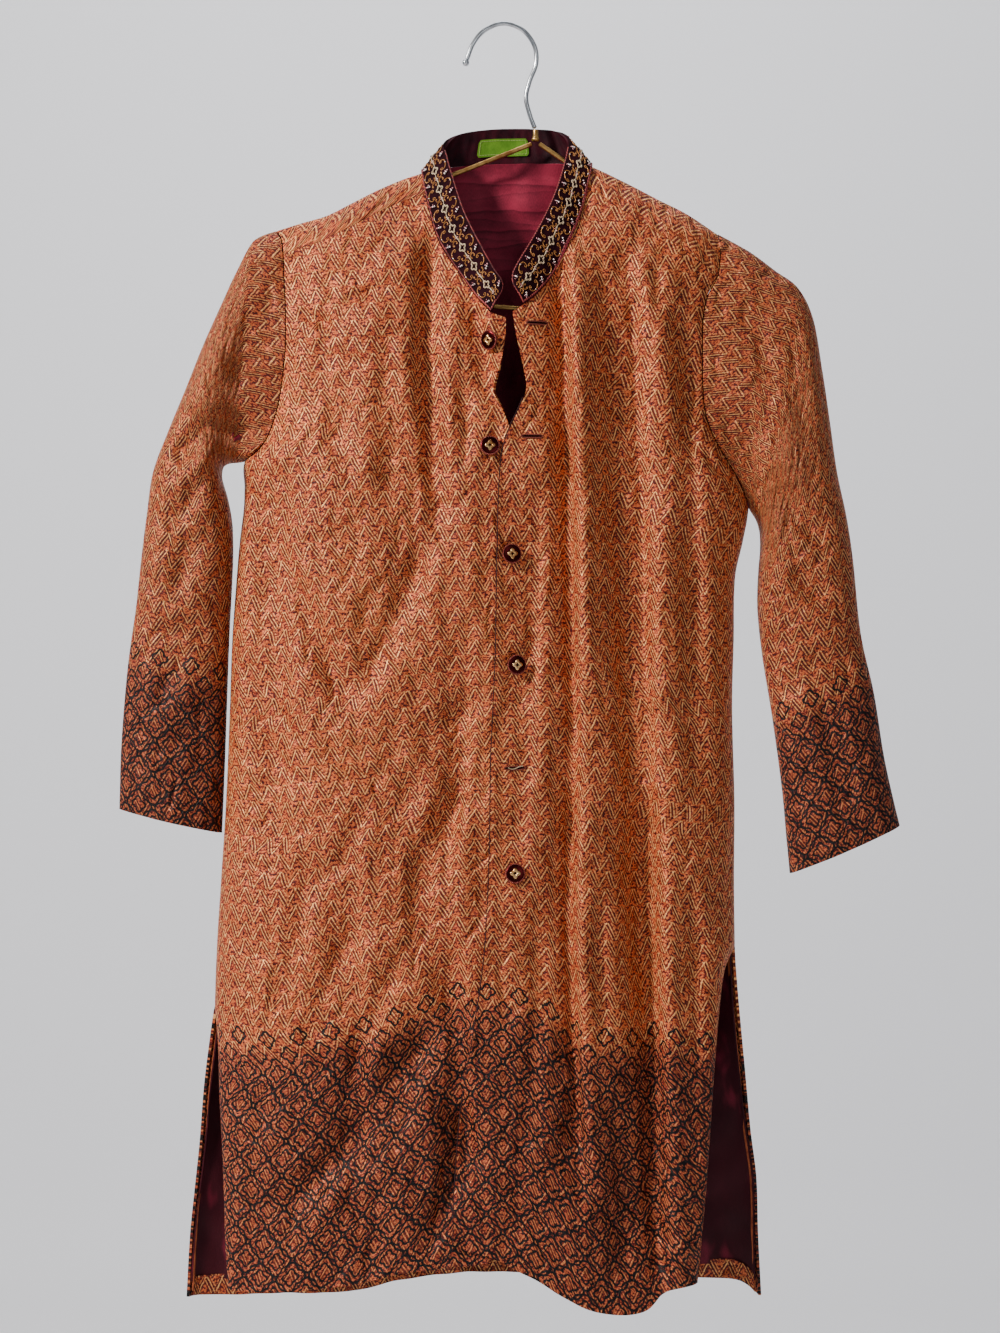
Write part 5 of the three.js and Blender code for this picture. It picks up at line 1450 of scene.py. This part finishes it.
# button: profiles as radius and height above the shank's foot, then the corded rim
buttonForm = settings(
    lift=0.5, sides=40, lobes=(4, 0.2),
    dome=[[0, 0], [1.9, 0], [2, 1.3], [5.4, 1.5], [6.2, 2.0], [6.3, 2.7], [5.9, 3.3], [5.0, 3.6],
          [3.6, 3.75], [0, 3.8]],
    star=[[0, 3.5], [2.9, 3.5], [3.0, 3.9], [2.7, 4.3], [1.9, 4.6], [1.2, 4.45], [0.9, 4.0], [0, 3.9]],
    eye=[[0, 3.7], [0.75, 3.8], [0.7, 4.25], [0, 4.4]],
    rimRadius=5.85, rimHeight=2.95, rimTwists=18, rimTwist=0.28, rimThread=0.36,
)
# node, x, drop, and whether it sits on the under front
buttonPlaces = [
    ("button_1", -7, 209.8, True), ("button_2", -8.4, 277.3, True), ("button_3", 4.6, 345.4, False),
    ("button_4", 7.5, 415.4, False), ("button_6", 7.5, 547.8, False),
]


def makeButton(name, x, drop, under):
    # lacquered dome on a shank, a corded rim and a raised four-lobed centre with a dark eye
    # of painted shade in its hole; each strand of the rim is a ring that winds round a ring
    point, inward = bodySkin("front", np.array([float(x)]), np.array([float(drop)]))
    depth = underStep(np.array([x - 2.0]), np.array([float(drop)]))[0] if under else 0.0
    axis = -inward[0]
    base = point[0] + inward[0] * depth + axis * buttonForm["lift"]
    sides = buttonForm["sides"]
    forms = (
        ("dome", sides, buttonLacquer, (0, 0.0)), ("star", sides, buttonGold, buttonForm["lobes"]),
        ("eye", 16, darkBeadAndHoleShade, (0, 0.0)),
    )
    pieces = [
        turned(name + "_" + form, [buttonForm[form]], [base], [axis], count, [finish], [0], lobes)
        for form, count, finish, lobes in forms
    ]
    turn = np.linspace(0, 2 * math.pi, 97)
    sideways = unit(np.cross([0, 0, 1.0], axis))
    around = np.cos(turn)[:, None] * sideways + np.sin(turn)[:, None] * np.cross(axis, sideways)
    for strand in (0, math.pi):
        twist = buttonForm["rimTwists"] * turn + strand
        reach = buttonForm["rimRadius"] + buttonForm["rimTwist"] * np.cos(twist)
        height = buttonForm["rimHeight"] + buttonForm["rimTwist"] * np.sin(twist)
        line = base + reach[:, None] * around + axis * height[:, None]
        normals = np.broadcast_to(axis, (1, 97, 3))
        widths = np.full((1, 97), buttonForm["rimThread"])
        pieces.append(tubes(name + "_cord", line[None], normals, widths, 6, [buttonRim]))
    return joinPieces(name + "_visual", pieces)


def joinPieces(name, pieces):
    # one object from several, under the first one's data
    for other in bpy.context.selected_objects:
        other.select_set(False)
    for piece in pieces:
        piece.select_set(True)
    bpy.context.view_layer.objects.active = pieces[0]
    bpy.ops.object.join()
    pieces[0].name = name
    pieces[0].data.name = name
    return pieces[0]


holePlaces = [(21.5, 199.0), (18.2, 271.0), (7.5, 481.0)]
holeForm = settings(half=6.8, rise=1.0, thread=0.46, slit=0.5, loose=0.28, lifts=(0.3, 0.15, 0.8))


def makeButtonholes():
    # worked holes without a button: a dark slit of painted shade inside a ring of thread, and a loose
    # stitch
    turn = np.linspace(0, 2 * math.pi, 61)
    ring = np.stack([np.cos(turn), np.sin(turn)], axis=-1)
    flat = ring * [holeForm["rise"], holeForm["rise"]]
    flat[:, 0] += np.sign(ring[:, 0]) * np.abs(ring[:, 0]) ** 0.3 * (holeForm["half"] - holeForm["rise"])
    reach = holeForm["half"] - 0.6
    slit = np.column_stack([np.linspace(-reach, reach, 61), np.zeros(61)])
    t = np.linspace(0, 1, 61)
    stitch = np.column_stack([mix(-4.5, 5.0, t), 0.9 * np.sin(5 * t) - 0.3])
    places = np.array(holePlaces)
    lines = [flat[None] + places[:, None], slit[None] + places[:, None], (stitch + places[-1])[None]]
    counts = [len(line) for line in lines]
    flats = np.concatenate(lines)
    points, inward = bodySkin("front", flats[..., 0], flats[..., 1])
    lift = np.repeat(holeForm["lifts"], counts)
    widths = np.repeat([holeForm["thread"], holeForm["slit"], holeForm["loose"]], counts)
    threads = [stitchThread, darkBeadAndHoleShade, creamThread]
    points = points - inward * lift[:, None, None]
    widths = np.broadcast_to(widths[:, None], flats.shape[:2])
    return tubes("buttonholes", points, -inward, widths, 6, threads, np.repeat([0, 1, 2], counts))


lapShadowForm = settings(start=246, end=782, inside=0.9, out=0.65, thread=0.32)


def makeLapShadow():
    # turned edge of the lap: a thin dark line of painted shadow just outside its fold
    edge = curveThrough(overEdge)
    edge = edge[(edge[:, 1] > lapShadowForm["start"]) & (edge[:, 1] < lapShadowForm["end"])]
    points, inward = bodySkin("front", edge[:, 0], edge[:, 1])
    points = points - inward * (lapping["proud"] - lapShadowForm["inside"])
    points[:, 0] -= lapShadowForm["out"]
    widths = np.full((1, len(points)), lapShadowForm["thread"])
    return tubes("lap_shadow_line", points[None], -inward[None], widths, 6, [lapShadowThread])


print("buttons")
holes = place(makeButtonholes(), None)
lapShadow = place(makeLapShadow(), None)
for name, x, drop, under in buttonPlaces:
    place(makeButton(name, x, drop, under), name)


# hanger

# hook and frame as x and drop; ball at the hook's tip; ferrule as radius and height from its foot
hangerForm = settings(
    wire=1.5, bend=9, tip=2.3,
    hook=[[-23.4, 21.8], [-19.6, 12], [-12.5, 3.4], [0, -1.5], [12.5, 2.6], [20.4, 13], [21.6, 24.5],
          [17.4, 36], [15, 47], [17.6, 58.5], [20.6, 66.3]],
    frame=[[23.9, 77], [54.5, 97.8], [189, 174.5], [187, 197], [-160, 171], [-163, 148.3], [18.5, 77]],
    ferrule=[[0, 0], [1.9, 0], [2.4, 0.4], [2.6, 1.2], [2.5, 2.0], [2.0, 2.5], [1.95, 2.9], [2.2, 3.3],
             [1.75, 3.9], [1.7, 6.8], [1.55, 7.5], [0, 7.7]],
    ferrulePlace=(21.2, 0, -75.2),
)


def wireLine(points):
    # x and drop to points in the hanger's plane
    return np.column_stack([points[:, 0], np.zeros(len(points)), -points[:, 1]])


def bentLine(corners, radius):
    # straight stretches with a round bend at each inner corner
    corners = np.asarray(corners, float)
    parts = [corners[:1]]
    t = np.linspace(0, 1, 9)[:, None]
    for before, corner, after in zip(corners[:-2], corners[1:-1], corners[2:]):
        start = corner + unit(before - corner) * radius
        end = corner + unit(after - corner) * radius
        parts.append((1 - t) ** 2 * start + 2 * t * (1 - t) * corner + t**2 * end)
    parts.append(corners[-1:])
    line = np.concatenate(parts)
    lengths = lengthsAlong(line)
    marks = np.unique(np.concatenate([lengths, np.arange(0, lengths[-1], 6.0)]))
    return columnsAt(marks, lengths, line)


def wirePiece(name, line, radius, material, sides=14):
    # a round wire of one radius along a line
    normals = np.broadcast_to(np.array([0, 1.0, 0]), line.shape)[None]
    return tubes(name, line[None], normals, np.full((1, len(line)), radius), sides, [material])


print("hanger")
hookLine = wireLine(curveThrough(hangerForm["hook"], 1.2))
place(wirePiece("hook_wire", hookLine, hangerForm["wire"], steelWire), "hanger_hook")
frameLine = wireLine(bentLine(hangerForm["frame"], hangerForm["bend"]))
place(wirePiece("frame_wire", frameLine, hangerForm["wire"], goldWire), "hanger_frame")
tipAway = unit(hookLine[0] - hookLine[2])
tipAngle = np.linspace(0, math.pi, 13)
tipProfile = hangerForm["tip"] * np.stack([np.sin(tipAngle), 1 - np.cos(tipAngle)], axis=-1)
tip = turned("hook_tip", [tipProfile], [hookLine[0] + tipAway * 0.1], [tipAway], 20, [steelWire], [0])
place(tip, "hanger_tip")
foot, up = np.array(hangerForm["ferrulePlace"]), [0, 0, 1]
ferrule = turned("ferrule_cap", [hangerForm["ferrule"]], [foot], [up], 24, [goldWire], [0])
place(ferrule, "hanger_ferrule")


# stage, lights and camera

print("stage")
# floor and wall as y and z; lights as name, place, aim, size, power and colour
stageForm = settings(
    sweep=[(-6, -1.9), (2.6, -1.9), (2.9, -1.85), (3.1, -1.7), (3.2, -1.45), (3.2, 4.0)],
    halfWidth=7.0, paint=paint(250, 250, 253), sky=(0.86, 0.9, 0.96, 1), skyPower=0.26,
    lights=[
        ("key", (-2.35, -1.55, 1.15), (0, 0, -0.42), 0.55, 142, (1.0, 0.955, 0.91)),
        ("fill", (1.0, -3.0, 0.4), (0, 0, -0.45), 1.6, 10, (1, 1, 1)),
        ("wallWash", (0, 0.9, 2.4), (0, 3.2, -0.4), 2.2, 72, (0.97, 0.98, 1.0)),
    ],
)
cameraForm = settings(lens=62.3, sensor=36, place=(-0.00195, -1.5, -0.41665))


def makeStage():
    # floor and wall in one sweep, far enough behind to see every side
    half = stageForm["halfWidth"]
    points = [(x, y, z) for y, z in stageForm["sweep"] for x in (-half, half)]
    count = len(stageForm["sweep"]) - 1
    quads = [[2 * k, 2 * k + 1, 2 * k + 3, 2 * k + 2] for k in range(count)]
    mesh = bpy.data.meshes.new("sweep")
    mesh.from_pydata(points, [], quads)
    mesh.materials.append(plainMaterial("sweep_paint", stageForm["paint"]))
    mesh.polygons.foreach_set("use_smooth", np.ones(count, bool))
    floor = bpy.data.objects.new("sweep", mesh)
    bpy.context.scene.collection.objects.link(floor)


def addLight(name, where, towards, size, power, colour):
    # a round soft light that faces its aim
    light = bpy.data.lights.new(name, "AREA")
    light.shape = "DISK"
    light.size, light.energy, light.color = size, power, colour
    lamp = bpy.data.objects.new(name, light)
    lamp.location = where
    lamp.rotation_euler = (Vector(towards) - Vector(where)).to_track_quat("-Z", "Y").to_euler()
    bpy.context.scene.collection.objects.link(lamp)


makeStage()
for light in stageForm["lights"]:
    addLight(*light)
world = bpy.data.worlds.new("studio")
bpy.context.scene.world = world
world.use_nodes = True
sky = world.node_tree.nodes["Background"]
sky.inputs[0].default_value = stageForm["sky"]
sky.inputs[1].default_value = stageForm["skyPower"]

camera = bpy.data.cameras.new("camera")
camera.lens, camera.sensor_width = cameraForm["lens"], cameraForm["sensor"]
viewer = bpy.data.objects.new("camera", camera)
viewer.location = cameraForm["place"]
viewer.rotation_euler = (math.pi / 2, 0, 0)
bpy.context.scene.collection.objects.link(viewer)
bpy.context.scene.camera = viewer

print("done")
